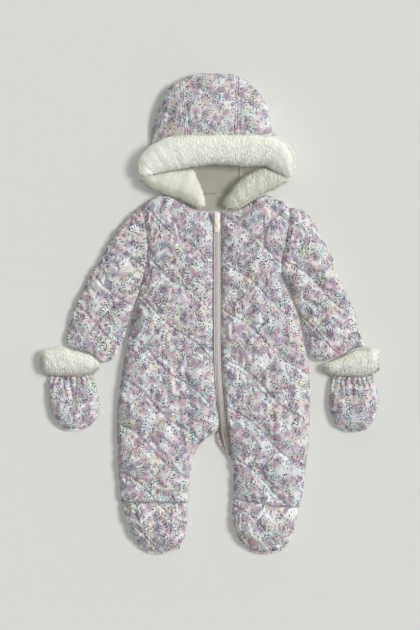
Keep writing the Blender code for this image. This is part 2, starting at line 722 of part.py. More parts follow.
def hood_panel(name, first, last):
    """One hood panel, between two meridians."""
    outer, inner = hood_faces()
    wall(name, narrowed(outer[first:last + 1]), narrowed(inner[first:last + 1]), FABRIC)


def fur_roll(name, rows, sides=12):
    """A roll of fur whose ellipse runs from its outer to its inner edge."""
    stations = np.linspace(0, 1, len(rows["z"]))
    finer = np.linspace(0, 1, 3 * len(stations) // 2)
    column = {key: smooth(stations, values, finer) for key, values in rows.items()}
    turns = np.linspace(0, 2 * np.pi, sides, endpoint=False)
    mid_x = (column["outer_x"] + column["inner_x"])[:, None] / 2
    mid_y = (column["outer_y"] + column["inner_y"])[:, None] / 2
    half_x = (column["outer_x"] - column["inner_x"])[:, None] / 2
    half_y = (column["outer_y"] - column["inner_y"])[:, None] / 2
    x = mid_x + half_x * np.cos(turns)
    y = mid_y + half_y * np.cos(turns)
    z = column["z"][:, None] + column["half"][:, None] * np.sin(turns)
    solid = Solid()
    rings = solid.add(np.stack([x, y, z], axis=-1))
    solid.skin(rings, round_=True)
    solid.faces.append(tuple(rings[0]))
    solid.faces.append(tuple(rings[-1]))
    solid.build(name, PILE, roughness=1.0)


def sheet(name, corners, z, colour):
    """A flat piece of lining between four corners."""
    grid = np.array(((corners[0], corners[1]), (corners[3], corners[2])), float)
    low = np.concatenate([grid, np.full((2, 2, 1), z)], axis=-1)
    wall(name, low + (0, 0, LINING), low, colour)


def zip_tape(name, side):
    """One tape of the zip, beside the center line."""
    y = np.linspace(ZIP["y"][0], ZIP["y"][-1], 36)
    x = smooth(ZIP["y"], ZIP["x"], y)
    z = smooth(ZIP["y"], ZIP["z"], y)
    near, far = side * GAP / 2, side * ZIP_TAPE
    corners = ((near, TAPE_TOP), (near, -TAPE_UNDER), (far, -TAPE_UNDER), (far, 0))
    solid = Solid()
    rings = solid.add(np.stack(
        [np.stack([x + dx, y, z + dz], axis=-1) for dx, dz in corners], axis=1))
    solid.skin(rings, round_=True)
    solid.faces.append(tuple(rings[0]))
    solid.faces.append(tuple(rings[-1]))
    solid.build(name, TAPE)


def prism(solid, outline, low, high):
    """A plate with a plan outline, between two heights."""
    rings = [[(x, y, z) for x, y in outline] for z in (low, high)]
    ring_numbers = solid.add(np.array(rings, float))
    solid.skin(ring_numbers, round_=True)
    solid.faces.append(tuple(ring_numbers[0]))
    solid.faces.append(tuple(ring_numbers[1]))


def zip_height(y):
    return float(smooth(ZIP["y"], ZIP["z"], np.array([float(y)]))[0])


def zip_center(y):
    return float(smooth(ZIP["y"], ZIP["x"], np.array([float(y)]))[0])


def combine(body, other, operation):
    """A Boolean with a helper object, which stays out of the model."""
    step = body.modifiers.new(operation.lower(), "BOOLEAN")
    step.operation = operation
    step.object = other
    other.hide_render = True
    other.display_type = "WIRE"


def zip_slider():
    """The slider's body with the bridge that its pull hangs from."""
    x0, low = zip_center(SLIDER_Y), zip_height(SLIDER_Y) + TAPE_TOP + GAP
    half, wide = SLIDER_LENGTH / 2, SLIDER_WIDTH / 2
    outline = [(x0 + dx * wide, SLIDER_Y + dy * half) for dx, dy in (
        (-0.75, -1), (0.75, -1), (0.85, -0.2), (1, 0.6), (0.8, 1),
        (-0.8, 1), (-1, 0.6), (-0.85, -0.2))]
    plate = Solid()
    prism(plate, outline, low, low + SLIDER_HEIGHT)
    body = plate.build("zip_slider", METAL, 0.45, 0.6)
    top = low + SLIDER_HEIGHT
    arch = ((0.05, -1), (0.95, -1), (0.95, BRIDGE_RISE), (0.05, BRIDGE_RISE))
    profile = [(SLIDER_Y + a * half, top + b) for a, b in arch]
    bridge = Solid()
    sides = [[(x0 + dx * BRIDGE_WIDTH / 2, y, z) for y, z in profile] for dx in (-1, 1)]
    numbers = bridge.add(np.array(sides, float))
    bridge.skin(numbers, round_=True)
    bridge.faces.append(tuple(numbers[0]))
    bridge.faces.append(tuple(numbers[1]))
    arch_object = bridge.build("bridge_outer", METAL)
    window = bpy.data.objects.new("bridge_window", bpy.data.meshes.new("bridge_window"))
    bpy.context.scene.collection.objects.link(window)
    bm = bmesh.new()
    bmesh.ops.create_cube(bm, size=1)
    room = BRIDGE_RISE - BRIDGE_TOP
    size = (BRIDGE_WIDTH * 3, half * 0.62, room)
    bmesh.ops.scale(bm, vec=np.array(size) * METRE, verts=bm.verts)
    middle = (x0, SLIDER_Y + half / 2, top + room / 2 + 0.001)
    bmesh.ops.translate(bm, vec=np.array(middle) * METRE, verts=bm.verts)
    bm.to_mesh(window.data)
    bm.free()
    combine(body, arch_object, "UNION")
    combine(body, window, "DIFFERENCE")


def zip_pull():
    """The pull tab: an eye round the bridge, and a tab that lies up the zip."""
    axis_y = SLIDER_Y + SLIDER_LENGTH / 4
    axis_z = zip_height(SLIDER_Y) + TAPE_TOP + GAP + SLIDER_HEIGHT + PULL_RISE
    wide, eye = PULL_WIDTH / 2, BRIDGE_WIDTH / 2 + 0.5
    bar, reach = PULL_BAR, SLIDER_LENGTH / 4 + 1.4
    outline = [(-wide * 0.7, -bar), (wide * 0.7, -bar), (wide * 0.8, reach),
               (wide, reach + 3), (wide, PULL_LENGTH - 2), (wide - 2, PULL_LENGTH),
               (2 - wide, PULL_LENGTH), (-wide, PULL_LENGTH - 2), (-wide, reach + 3),
               (-wide * 0.8, reach)]
    hole = [(-eye, bar), (eye, bar), (eye, reach), (-eye, reach)]
    plate, cutter = Solid(), Solid()
    prism(plate, outline, -PULL_THICK / 2, PULL_THICK / 2)
    prism(cutter, hole, -PULL_THICK, PULL_THICK)
    pull = plate.build("zip_pull", METAL, 0.45, 0.6)
    window = cutter.build("pull_eye", METAL)
    combine(pull, window, "DIFFERENCE")
    axis = np.array((zip_center(SLIDER_Y), axis_y, axis_z)) * METRE
    pull.location = axis
    window.location = axis


def chin_guard(front):
    """A folded patch at the top of the zip, on the left front's own points."""
    down = np.linspace(0, 1, FRONT_ROWS)[:3]
    across = spread(FRONT_COLUMNS)[-5:-1]
    face = front.upper(down, across)
    face[..., 2] += 3 * GAP
    wall("chin_guard", face + (0, 0, GUARD_THICK), face, FABRIC)


def main():
    for old in list(bpy.data.objects):
        bpy.data.objects.remove(old, do_unlink=True)

    front_right = Panel(RIGHT_BODY, RIGHT_NECKLINE, RIGHT_ANKLE, RIGHT_QUILT)
    front_left = Panel(LEFT_BODY, LEFT_NECKLINE, LEFT_ANKLE, LEFT_QUILT)
    front_right.make_upper("front_right", FRONT_ROWS, FRONT_COLUMNS, 4)
    front_left.make_upper("front_left", FRONT_ROWS, FRONT_COLUMNS, 4)
    Panel(RIGHT_BODY, RIGHT_YOKE, RIGHT_ANKLE, (0, 0), RIGHT_BACK_CENTER).make_under(
        "back_right", 33, 7, 4)
    Panel(LEFT_BODY, LEFT_YOKE, LEFT_ANKLE, (0, 0), LEFT_BACK_CENTER).make_under(
        "back_left", 33, 7, 4)

    for side, rows, ankle, toe, phases in (
            ("right", RIGHT_FOOT, RIGHT_ANKLE, RIGHT_TOE, RIGHT_QUILT),
            ("left", LEFT_FOOT, LEFT_ANKLE, LEFT_TOE, LEFT_QUILT)):
        ankle = shifted(ankle, y=-2 * GAP)
        longer = shifted(toe, y=-SOLE_SHOWS)
        Panel(rows, ankle, toe, phases).make_upper(f"foot_upper_{side}", 11, 15, 4)
        Panel(rows, ankle, longer, phases).make_under(f"sole_{side}", 11, 7, 4)

    sleeve("sleeve_right", RIGHT_SLEEVE, front_right, RIGHT_HEM, SLEEVE_QUILT_RIGHT)
    sleeve("sleeve_left", LEFT_SLEEVE, front_left, LEFT_HEM, SLEEVE_QUILT_LEFT)
    cuff("fur_cuff_right", RIGHT_CUFF)
    cuff("fur_cuff_left", LEFT_CUFF)
    mitten("mitten_right", RIGHT_MITTEN, RIGHT_CUFF)
    mitten("mitten_left", LEFT_MITTEN, LEFT_CUFF)

    right_seam, left_seam = HOOD_SEAMS
    hood_panel("hood_right", 0, right_seam)
    hood_panel("hood_center", right_seam, left_seam)
    hood_panel("hood_left", left_seam, len(HOOD["out_x"]) - 1)
    sheet("hood_lining", HOOD_LINING, HOOD_WALL + GAP, FLEECE)
    sheet("neck_lining", NECK_LINING, SEAM_Z + GAP, FLEECE)
    fur_roll("fur_hood_top", FUR_TOP)
    fur_roll("fur_hood_right", FUR_RIGHT)
    fur_roll("fur_hood_left", FUR_LEFT)

    zip_tape("zip_tape_right", -1)
    zip_tape("zip_tape_left", 1)
    zip_slider()
    zip_pull()
    chin_guard(front_left)


main()
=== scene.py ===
# %% [markdown]
# # A baby's padded snowsuit, laid out on its back
#
# The real thing is sewn from printed polyester with a thin wadding behind it. It is
# quilted in diamonds, edged with soft pile, and closed by one long zip. A stiff model of
# the suit gives each piece its size and place. This file puts a finished piece over each
# solid of it: cloth that swells between its stitches, pile made of small tufts, a zip with
# its teeth. Left and right are the wearer's. Sizes are in millimetres until a mesh is made.

import bmesh
import bpy
import numpy as np
from mathutils import Matrix, Vector
from mathutils.bvhtree import BVHTree


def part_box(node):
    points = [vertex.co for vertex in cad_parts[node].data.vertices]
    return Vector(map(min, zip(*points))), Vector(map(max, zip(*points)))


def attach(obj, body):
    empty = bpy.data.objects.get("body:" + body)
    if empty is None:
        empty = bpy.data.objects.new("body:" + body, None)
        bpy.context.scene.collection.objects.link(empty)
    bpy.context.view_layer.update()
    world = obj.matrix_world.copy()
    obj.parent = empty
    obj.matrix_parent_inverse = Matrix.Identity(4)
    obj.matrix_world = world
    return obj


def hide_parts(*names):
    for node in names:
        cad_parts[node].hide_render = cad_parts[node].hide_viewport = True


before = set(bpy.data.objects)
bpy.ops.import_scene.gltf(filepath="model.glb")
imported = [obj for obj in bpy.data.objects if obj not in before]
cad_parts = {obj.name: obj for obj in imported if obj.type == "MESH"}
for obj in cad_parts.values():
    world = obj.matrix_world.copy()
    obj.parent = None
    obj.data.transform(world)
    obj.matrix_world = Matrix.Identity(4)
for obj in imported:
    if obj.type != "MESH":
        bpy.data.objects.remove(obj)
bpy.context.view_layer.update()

MM = 0.001

# %% [markdown]
# ## Helpers for materials
#
# A dyer's colour is written as a hex code, the way a colour picker shows it. A shader wants
# linear light, so one function turns the code into that. A material is a graph of nodes,
# and one more function adds a node, sets it and links it in a single call. Two others rest
# on these: one gives a ramp its stops, and one starts a material.

# %% Colours and nodes
def linear(code):
    """An sRGB code such as #D9DAD5 as the linear colour that a shader takes."""
    parts = [int(code[k:k + 2], 16) / 255 for k in (1, 3, 5)]
    return (*(c / 12.92 if c <= 0.04045 else ((c + 0.055) / 1.055) ** 2.4 for c in parts), 1)


def add(tree, kind, inputs=None, **settings):
    """Adds a node. An input takes a value or the output socket of another node."""
    node = tree.nodes.new(kind)
    for name, value in settings.items():
        setattr(node, name, value)
    for name, value in (inputs or {}).items():
        if isinstance(value, bpy.types.NodeSocket):
            tree.links.new(value, node.inputs[name])
        else:
            node.inputs[name].default_value = value
    return node


def set_stops(ramp, stops, interpolation="LINEAR"):
    """Gives a colour ramp its stops: pairs of a position and a colour code."""
    ramp.interpolation = interpolation
    ramp.elements.remove(ramp.elements[1])
    for position, code in stops:
        ramp.elements.new(position).color = linear(code)
    ramp.elements.remove(ramp.elements[0])


def new_material(name, code, roughness, **inputs):
    """A material whose shader has its even values set on its own sockets."""
    material = bpy.data.materials.new(name)
    material.use_nodes = True
    shader = material.node_tree.nodes["Principled BSDF"]
    shader.inputs["Base Color"].default_value = linear(code)
    shader.inputs["Roughness"].default_value = roughness
    for socket, value in inputs.items():
        shader.inputs[socket.replace("_", " ")].default_value = value
    material.diffuse_color = linear(code)
    return material, material.node_tree, shader


print("half grey on screen, as linear light:", round(linear("#808080")[0], 3))

# %% [markdown]
# ## Printed woven polyester
#
# The shell is a light plain weave, printed all over with small garden flowers on a cool
# white ground. A print like this could be painted as an image. Here it is built from
# layers of Voronoi cells instead: each cell holds one motif, its random colour turns the
# motif and picks its ink, and polar coordinates round the cell's point draw the petals.
# The cloth's own UV map, in metres on the flat cut, keeps each flower at its true size.
# The weave itself, a thread each 0.25 mm, is far too fine to show, so the bump stands in
# for it with a grain three times as coarse.

# %% The print's inks and layers
GROUND = "#DEDFE0"
PALE = ("#DED3D7", "#D8D5DC", "#E2DAD1", "#DFDCD0", "#D2DBDA", "#E2D6D9")
MAUVES = ("#BFA6B3", "#CAB3BE", "#B3A2B4", "#CDB8C2", "#BBADBF", "#C7ACB8")
ROSES = ("#C5A2B0", "#D1B7C1", "#DCC9BB", "#BEA2B1", "#D8D0C0", "#B9A8B9")
GREENS = ("#9DBBB9", "#B3C7BD", "#8EADB1", "#AABFAF", "#98B1BA", "#BDCCC5")
SPRIGS = ("#496777", "#587B7E", "#435269", "#728F96", "#48576E", "#65837B")
INKS = ("#37485E", "#526678", "#655770", "#3B4B56", "#4B6266", "#6A5D75")

# motif, mm from one to the next, size in mm, share of the cells that hold one, inks
LAYERS = (
    ("blossom", 22.0, 12.0, 1.00, PALE),
    ("sprig", 18.0, 9.0, 0.65, GREENS),
    ("blossom", 17.0, 6.8, 0.75, MAUVES),
    ("blossom", 13.5, 4.4, 0.45, ROSES),
    ("sprig", 15.0, 7.5, 0.50, SPRIGS),
    ("leaf", 9.0, 2.4, 0.45, SPRIGS),
    ("speck", 7.0, 1.0, 0.50, INKS),
)
LAYER_SHIFT = (0.37, 0.21)      # metres from one layer's cells to the next layer's
PETAL_SHADES = ((0.0, "#A9A2A6"), (0.16, "#D2CCC9"), (0.28, "#FFFFFF"), (0.55, "#E8E8E8"),
                (0.75, "#FFFFFF"), (0.95, "#DADADA"))
LEAF_SHADES = ((0.0, "#D0D0D0"), (0.5, "#FFFFFF"), (0.9, "#E0E0E0"))
LEAF_SLIMNESS = 2.8             # a leaf's length over its width
PETAL_WAVE, PETAL_MEAN = 0.10, 0.86     # how a blossom's outline swings, and round what
SPRIG_SLANT, SPRIG_STEP = -0.7, 0.31    # its leaves' slant, and half the way between pairs
print("sizes of the motifs, mm:", [size for _, _, size, _, _ in LAYERS])


# %% One layer of the print
def motif_radius(tree, motif, local, size, dice):
    """How far a point is from its motif's middle: 1 is the motif's outline."""
    scaled = add(tree, "ShaderNodeVectorMath", {0: local, "Scale": 1 / (size * MM)},
                 operation="SCALE").outputs[0]
    length = add(tree, "ShaderNodeVectorMath", {0: scaled}, operation="LENGTH").outputs["Value"]
    if motif == "speck":
        return length
    turn = add(tree, "ShaderNodeMath", {0: dice.outputs["Red"], 1: 2 * np.pi},
               operation="MULTIPLY").outputs[0]
    turned = add(tree, "ShaderNodeVectorRotate", {"Vector": scaled, "Angle": turn},
                 rotation_type="Z_AXIS").outputs[0]
    if motif == "leaf":
        slim = add(tree, "ShaderNodeVectorMath", {0: turned, 1: (1.0, LEAF_SLIMNESS, 1.0)},
                   operation="MULTIPLY").outputs[0]
        return add(tree, "ShaderNodeVectorMath", {0: slim}, operation="LENGTH").outputs["Value"]
    parts = add(tree, "ShaderNodeSeparateXYZ", {0: turned})
    if motif == "blossom":
        angle = add(tree, "ShaderNodeMath", {0: parts.outputs["Y"], 1: parts.outputs["X"]},
                    operation="ARCTAN2").outputs[0]
        five = add(tree, "ShaderNodeMath", {0: angle, 1: 5.0}, operation="MULTIPLY").outputs[0]
        lobes = add(tree, "ShaderNodeMath", {0: five}, operation="COSINE").outputs[0]
        outline = add(tree, "ShaderNodeMath", {0: lobes, 1: PETAL_WAVE, 2: PETAL_MEAN},
                      operation="MULTIPLY_ADD").outputs[0]
        return add(tree, "ShaderNodeMath", {0: length, 1: outline}, operation="DIVIDE").outputs[0]
    # A sprig: leaves in slanted pairs along a stem
    side = add(tree, "ShaderNodeMath", {0: parts.outputs["Y"]}, operation="ABSOLUTE").outputs[0]
    slant = add(tree, "ShaderNodeMath", {0: side, 1: SPRIG_SLANT, 2: parts.outputs["X"]},
                operation="MULTIPLY_ADD").outputs[0]
    along = add(tree, "ShaderNodeMath", {0: slant, 1: SPRIG_STEP, 2: -SPRIG_STEP},
                operation="WRAP").outputs[0]
    leaf = add(tree, "ShaderNodeCombineXYZ", {
        0: add(tree, "ShaderNodeMath", {0: along, 1: 8.5}, operation="MULTIPLY").outputs[0],
        1: add(tree, "ShaderNodeMath", {0: side, 1: 2.9, 2: -1.1},
               operation="MULTIPLY_ADD").outputs[0]}).outputs[0]
    leaf = add(tree, "ShaderNodeVectorMath", {0: leaf}, operation="LENGTH").outputs["Value"]
    return add(tree, "ShaderNodeMath", {0: leaf, 1: length}, operation="MAXIMUM").outputs[0]


def print_layer(tree, place, below, number):
    """Prints one layer of motifs over the colour below it."""
    motif, apart, size, share, inks = LAYERS[number]
    shift = (LAYER_SHIFT[0] * number, LAYER_SHIFT[1] * number, 0)
    moved = add(tree, "ShaderNodeVectorMath", {0: place, 1: shift}, operation="ADD").outputs[0]
    cells = add(tree, "ShaderNodeTexVoronoi",
                {"Vector": moved, "Scale": 1 / (apart * MM), "Randomness": 0.8},
                voronoi_dimensions="2D", feature="F1")
    local = add(tree, "ShaderNodeVectorMath", {0: moved, 1: cells.outputs["Position"]},
                operation="SUBTRACT").outputs[0]
    dice = add(tree, "ShaderNodeSeparateColor", {0: cells.outputs["Color"]})
    radius = motif_radius(tree, motif, local, size, dice)
    ink = add(tree, "ShaderNodeValToRGB", {0: dice.outputs["Green"]})
    set_stops(ink.color_ramp, [(k / len(inks), code) for k, code in enumerate(inks)], "CONSTANT")
    shade = add(tree, "ShaderNodeValToRGB", {0: radius})
    set_stops(shade.color_ramp, PETAL_SHADES if motif == "blossom" else LEAF_SHADES)
    shaded = add(tree, "ShaderNodeMix", {0: 1.0, 6: ink.outputs[0], 7: shade.outputs[0]},
                 data_type="RGBA", blend_type="MULTIPLY").outputs[2]
    soft = 0.35 if motif == "blossom" else 0.12
    inside = add(tree, "ShaderNodeMapRange",
                 {"Value": radius, "From Min": 1 + soft, "From Max": 1 - soft}).outputs[0]
    there = add(tree, "ShaderNodeMath", {0: dice.outputs["Blue"], 1: 1 - share},
                operation="GREATER_THAN").outputs[0]
    mask = add(tree, "ShaderNodeMath", {0: inside, 1: there}, operation="MULTIPLY").outputs[0]
    return add(tree, "ShaderNodeMix", {0: mask, 6: below, 7: shaded},
               data_type="RGBA").outputs[2]


print("inks in each layer:", [len(inks) for *_, inks in LAYERS])

# %% The shell's material
def printed_polyester():
    """Matt microfibre: it scatters light evenly, with a faint lift at grazing angles."""
    material, tree, shader = new_material(
        "printed woven polyester", GROUND, 0.82, Sheen_Weight=0.12, Sheen_Roughness=0.5)
    shader.inputs["Specular IOR Level"].default_value = 0.3
    place = add(tree, "ShaderNodeUVMap", uv_map="cloth").outputs[0]
    colour = add(tree, "ShaderNodeRGB")
    colour.outputs[0].default_value = linear(GROUND)
    colour = colour.outputs[0]
    for number in range(len(LAYERS)):
        colour = print_layer(tree, place, colour, number)
    tree.links.new(colour, shader.inputs["Base Color"])
    grain = add(tree, "ShaderNodeTexNoise", {"Vector": place, "Scale": 1 / (0.75 * MM),
                                             "Detail": 1.0}, noise_dimensions="2D")
    bump = add(tree, "ShaderNodeBump", {"Height": grain.outputs[0], "Strength": 0.35,
                                        "Distance": 0.1 * MM})
    tree.links.new(bump.outputs[0], shader.inputs["Normal"])
    return material


shell = printed_polyester()
print("print layers:", len(LAYERS), "nodes:", len(shell.node_tree.nodes))

# %% [markdown]
# ## Pile, fleece, zip and thread
#
# Imitation fur is a knitted ground with a cut acrylic pile, which scatters light inside
# itself, so its shadows stay soft and pale. The lining is a flat fleece. The zip has a
# woven polyester tape, a nylon coil and an enamelled zinc slider. Each of them gets its
# own small graph: a little mottling in the colour and a bump at the scale of its fibres. The
# pile comes in three near whites: the neck's is painted a little darker and yellower than
# the roll over the hood, as painted shade for that roll lying over it, and the cuffs' lies
# between the two. The fleece is painted darker too, as painted shade under the fur, and so
# is the tape's lower end, as painted shade for the fold that it lies in.

# %% Materials of the trims
def mottled(name, codes, roughness, grain_mm, patch_mm, depth_mm, **inputs):
    """A material whose colour drifts between two codes, with a fibrous bump."""
    material, tree, shader = new_material(name, codes[0], roughness, **inputs)
    place = add(tree, "ShaderNodeTexCoord").outputs["Object"]
    patches = add(tree, "ShaderNodeTexNoise", {"Vector": place, "Scale": 1 / (patch_mm * MM),
                                               "Detail": 3.0})
    mix = add(tree, "ShaderNodeMix", {0: patches.outputs[0], 6: linear(codes[0]),
                                      7: linear(codes[1])}, data_type="RGBA")
    tree.links.new(mix.outputs[2], shader.inputs["Base Color"])
    grain = add(tree, "ShaderNodeTexNoise", {"Vector": place, "Scale": 1 / (grain_mm * MM),
                                             "Detail": 2.0})
    bump = add(tree, "ShaderNodeBump", {"Height": grain.outputs[0], "Strength": 0.6,
                                        "Distance": depth_mm * MM})
    tree.links.new(bump.outputs[0], shader.inputs["Normal"])
    return material


pile, shaded_neck_pile, cuff_pile = (
    mottled("cut acrylic pile" + where, codes, 0.9, grain_mm=1.2, patch_mm=14, depth_mm=0.06)
    for where, codes in (("", ("#F4F6ED", "#EDEFE5")),
                         (" in the neck", ("#E5E5D9", "#DCDCCF")),
                         (" of the cuffs", ("#ECEEE4", "#E5E7DC"))))
# The fleece is darker than its own colour: painted shade for the neck and the inside of the hood,
# which lie under the fur roll.
fleece = mottled("brushed polyester fleece", ("#ADAB9E", "#9F9D91"), 0.95, 1.0, 12, 0.4,
                 Sheen_Weight=0.15, Sheen_Roughness=0.6)
thread = mottled("spun polyester thread", ("#D9D2D8", "#CBC3CC"), 0.7, 0.4, 5, 0.05)
coil = mottled("nylon zip coil", ("#CFC8C5", "#BFB8B6"), 0.4, 0.5, 6, 0.02, IOR=1.53)
enamel = mottled("enamelled zinc", ("#F4EAE4", "#EDE1DA"), 0.3, 0.8, 8, 0.01,
                 Coat_Weight=0.4, Coat_Roughness=0.2)


PAINTED_SHADE_FROM, PAINTED_SHADE_TO = -120, -205     # the heights between which the tape is painted darker, as painted shade for the fold


def woven_tape():
    """Zip tape: slanted ribs, and a lower end painted darker, as painted shade where it lies in the
    fold.
    """
    material, tree, shader = new_material("woven zip tape", "#CFC9C7", 0.8)
    place = add(tree, "ShaderNodeTexCoord").outputs["Object"]
    turned = add(tree, "ShaderNodeMapping", {"Vector": place, "Rotation": (0, 0, 0.6)}).outputs[0]
    ribs = add(tree, "ShaderNodeTexWave", {"Vector": turned, "Scale": 0.16 / MM,
                                           "Distortion": 0.4}, bands_direction="Y")
    mix = add(tree, "ShaderNodeMix", {0: ribs.outputs[1], 6: linear("#D3CDCB"),
                                      7: linear("#B4AEAC")}, data_type="RGBA")
    # Painted shade: towards its lower end the tape's colour is darkened for the fold that it lies
    # in.
    height = add(tree, "ShaderNodeSeparateXYZ", {0: place}).outputs["Y"]
    painted_shade = add(tree, "ShaderNodeMapRange", {"Value": height, "From Min": PAINTED_SHADE_FROM * MM,
                                            "From Max": PAINTED_SHADE_TO * MM}).outputs[0]
    shaded_tape = add(tree, "ShaderNodeMix", {0: painted_shade, 6: mix.outputs[2], 7: linear("#908A80")},
               data_type="RGBA")
    tree.links.new(shaded_tape.outputs[2], shader.inputs["Base Color"])
    bump = add(tree, "ShaderNodeBump", {"Height": ribs.outputs[1], "Strength": 0.5,
                                        "Distance": 0.15 * MM})
    tree.links.new(bump.outputs[0], shader.inputs["Normal"])
    return material


tape = woven_tape()
print("materials:", ", ".join(m.name for m in bpy.data.materials if m.users == 0))

# %% [markdown]
# ## The pattern pieces' outlines
#
# A maker starts from paper patterns. Most of these tables are the ones that the stiff model
# is cut from. The hood's front edge, the zip, and the fronts' edges at both ends of the zip
# are set a little differently here. Each row gives the edges of a piece at one height of
# the body, and one smooth curve runs through the rows, without overshooting between them.

# %% Sizes in mm
GAP = 0.3               # between pieces sewn together
SEAM_Z = 11.0           # height of the side seam, where front and back meet
EDGE_REACH = 27.0       # width of the rounding along an outline
UNDER_REACH = 14.0      # and of the rounding underneath
SEAM_TUCK = 3.5         # how far the cloth dives into a sewn seam
TUCK_REACH = 7.0        # and from how far away
PAD = 8.0               # loft of a quilted diamond above its stitching
QUILT_PITCH = 80.0      # from one stitch line to the next along Y
QUILT_SLOPE = 0.85      # rise of a stitch line for each mm across
QUILT_WAVE = 5.0        # how far a stitch line strays from straight
QUILT_WAVE_RUN = 95.0   # from one of its waves to the next
LOFT_REACH = 24.0       # from an edge to where the wadding has its full loft
RIGHT_QUILT = (6.0, 46.0)           # where the two families of lines start, on each piece
LEFT_QUILT = (32.0, 67.0)
SLEEVE_QUILT_RIGHT = (58.0, -12.0)
SLEEVE_QUILT_LEFT = (42.0, 66.0)
SLEEVE_OUTER = 215.0    # length that scales the rounding of a sleeve's ends, at its outer edge
SLEEVE_UNDER = 95.0     # and at the underarm
NECK_SEAM_Y = 204.0     # where hood and body meet behind the neck
HOOD_WALL = 7.0         # padded and lined wall of the hood
HOOD_ROLL = 14.0        # radius at which the hood turns under
HOOD_SEAMS = (8, 12)    # rows of HOOD where the side panels meet the center
SOLE_SHOWS = 4.0        # of the sole past the toe seam
CUFF_HEIGHT = 44.0      # fur cuff, as it lies


def table(columns, rows):
    """Rows of numbers as one array for each named column."""
    return dict(zip(columns.split(), np.array(rows, float).T))


RIGHT_BODY = table("y side center height side_hold center_hold", (
    (182, -118, -3.5, 27, 0.75, 0.80),
    (172, -114, -2.0, 28, 0.80, 0.80),
    (156, -110, 2.5, 29, 0.80, 0.80),
    (143, -108, 6.0, 30, 0.80, 0.80),
    (117, -105, 6.0, 30, 0.80, 0.80),
    (88, -107, 6.0, 30, 0.75, 0.80),
    (63, -113, 6.0, 30, 0.55, 0.80),
    (41, -119, 6.0, 30, 0.10, 0.80),
    (15, -125, 6.0, 30, 0.00, 0.80),
    (-36, -138, 6.0, 30, 0.00, 0.80),
    (-70, -144, 6.5, 31, 0.00, 0.80),
    (-104, -150, 8.0, 31, 0.00, 0.80),
    (-155, -156, 12.5, 31, 0.00, 0.75),
    (-189, -157, 16.0, 31, 0.00, 0.60),
    (-202, -157, 6.0, 31, 0.00, 0.35),
    (-214, -157, -8.0, 32, 0.00, 0.10),
    (-226, -156, -19.0, 32, 0.00, 0.00),
    (-245, -156, -28.0, 32, 0.00, 0.00),
    (-274, -154, -32.0, 31, 0.00, 0.00),
    (-299, -152, -34.0, 30, 0.00, 0.00),
    (-330, -149, -36.0, 30, 0.00, 0.00),
))
LEFT_BODY = table("y side center height side_hold center_hold", (
    (182, 137, 19.6, 27, 0.75, 0.80),
    (156, 135, 19.6, 29, 0.80, 0.80),
    (117, 128, 19.6, 30, 0.80, 0.80),
    (88, 123, 19.6, 30, 0.75, 0.80),
    (63, 123, 19.6, 30, 0.35, 0.80),
    (41, 132, 19.6, 30, 0.00, 0.80),
    (15, 144, 19.6, 30, 0.00, 0.80),
    (-10, 152, 19.6, 30, 0.00, 0.80),
    (-36, 158, 19.6, 30, 0.00, 0.80),
    (-70, 166, 20.0, 31, 0.00, 0.80),
    (-104, 170, 21.5, 31, 0.00, 0.80),
    (-155, 171, 26.0, 31, 0.00, 0.80),
    (-202, 169, 31.0, 32, 0.00, 0.75),
    (-222, 168, 35.0, 32, 0.00, 0.50),
    (-236, 167, 36.0, 32, 0.00, 0.20),
    (-250, 165, 37.0, 32, 0.00, 0.00),
    (-274, 162, 40.0, 31, 0.00, 0.00),
    (-299, 159, 40.0, 30, 0.00, 0.00),
    (-330, 152, 39.0, 30, 0.00, 0.00),
))
RIGHT_NECKLINE = table("across y hold", (
    (0.00, 182, 0.00), (0.18, 196, 0.00), (0.30, 200, 0.05),
    (0.41, 199, 0.55), (0.60, 190, 0.80), (0.85, 175, 0.85), (1.00, 174, 0.85),
))
LEFT_NECKLINE = table("across y hold", (
    (0.00, 182, 0.00), (0.14, 193, 0.00), (0.27, 196, 0.05),
    (0.39, 200, 0.55), (0.60, 186, 0.80), (0.80, 175, 0.85), (1.00, 174, 0.85),
))
RIGHT_ANKLE = table("across y hold", ((0.0, -320, 0.85), (1.0, -320, 0.85)))
LEFT_ANKLE = table("across y hold", (
    (0.0, -328, 0.85), (0.37, -326, 0.85), (0.6, -321, 0.85),
    (0.83, -317, 0.85), (1.0, -312, 0.85),
))
RIGHT_BACK_CENTER = table("y center", (
    (204, 13), (-199, 13), (-203, 6), (-214, -8), (-226, -19), (-245, -28),
    (-274, -32), (-299, -34), (-330, -36),
))
LEFT_BACK_CENTER = table("y center", (
    (204, 13), (-199, 13), (-214, 14), (-230, 23), (-241, 31), (-253, 37),
    (-274, 40), (-299, 40), (-330, 39),
))
RIGHT_YOKE = table("across y hold", (
    (0.00, 182, 0.0), (0.16, 196, 0.0), (0.34, 204, 0.6), (1.00, 204, 1.0),
))
LEFT_YOKE = table("across y hold", (
    (0.00, 182, 0.0), (0.15, 193, 0.0), (0.38, 204, 0.6), (1.00, 204, 1.0),
))
RIGHT_FOOT = table("y side center height side_hold center_hold", (
    (-320, -149, -36.0, 30, 0, 0), (-342, -144, -37.0, 34, 0, 0),
    (-359, -137, -38.5, 36, 0, 0), (-376, -130, -42.0, 36, 0, 0),
    (-389, -122, -48.0, 33, 0, 0), (-394, -118, -50.0, 30, 0, 0),
))
LEFT_FOOT = table("y side center height side_hold center_hold", (
    (-312, 155, 39.0, 30, 0, 0), (-328, 152, 38.5, 31, 0, 0),
    (-342, 149, 38.5, 34, 0, 0), (-364, 144, 42.0, 36, 0, 0),
    (-381, 137, 49.0, 36, 0, 0), (-391, 132, 55.0, 32, 0, 0),
))
RIGHT_TOE = table("across y hold", (
    (0.00, -393, 0.0), (0.25, -402, 0.0), (0.50, -404, 0.0),
    (0.75, -402, 0.0), (1.00, -394, 0.0),
))
LEFT_TOE = table("across y hold", (
    (0.00, -392, 0.0), (0.25, -402, 0.0), (0.50, -404, 0.0),
    (0.75, -400, 0.0), (1.00, -388, 0.0),
))
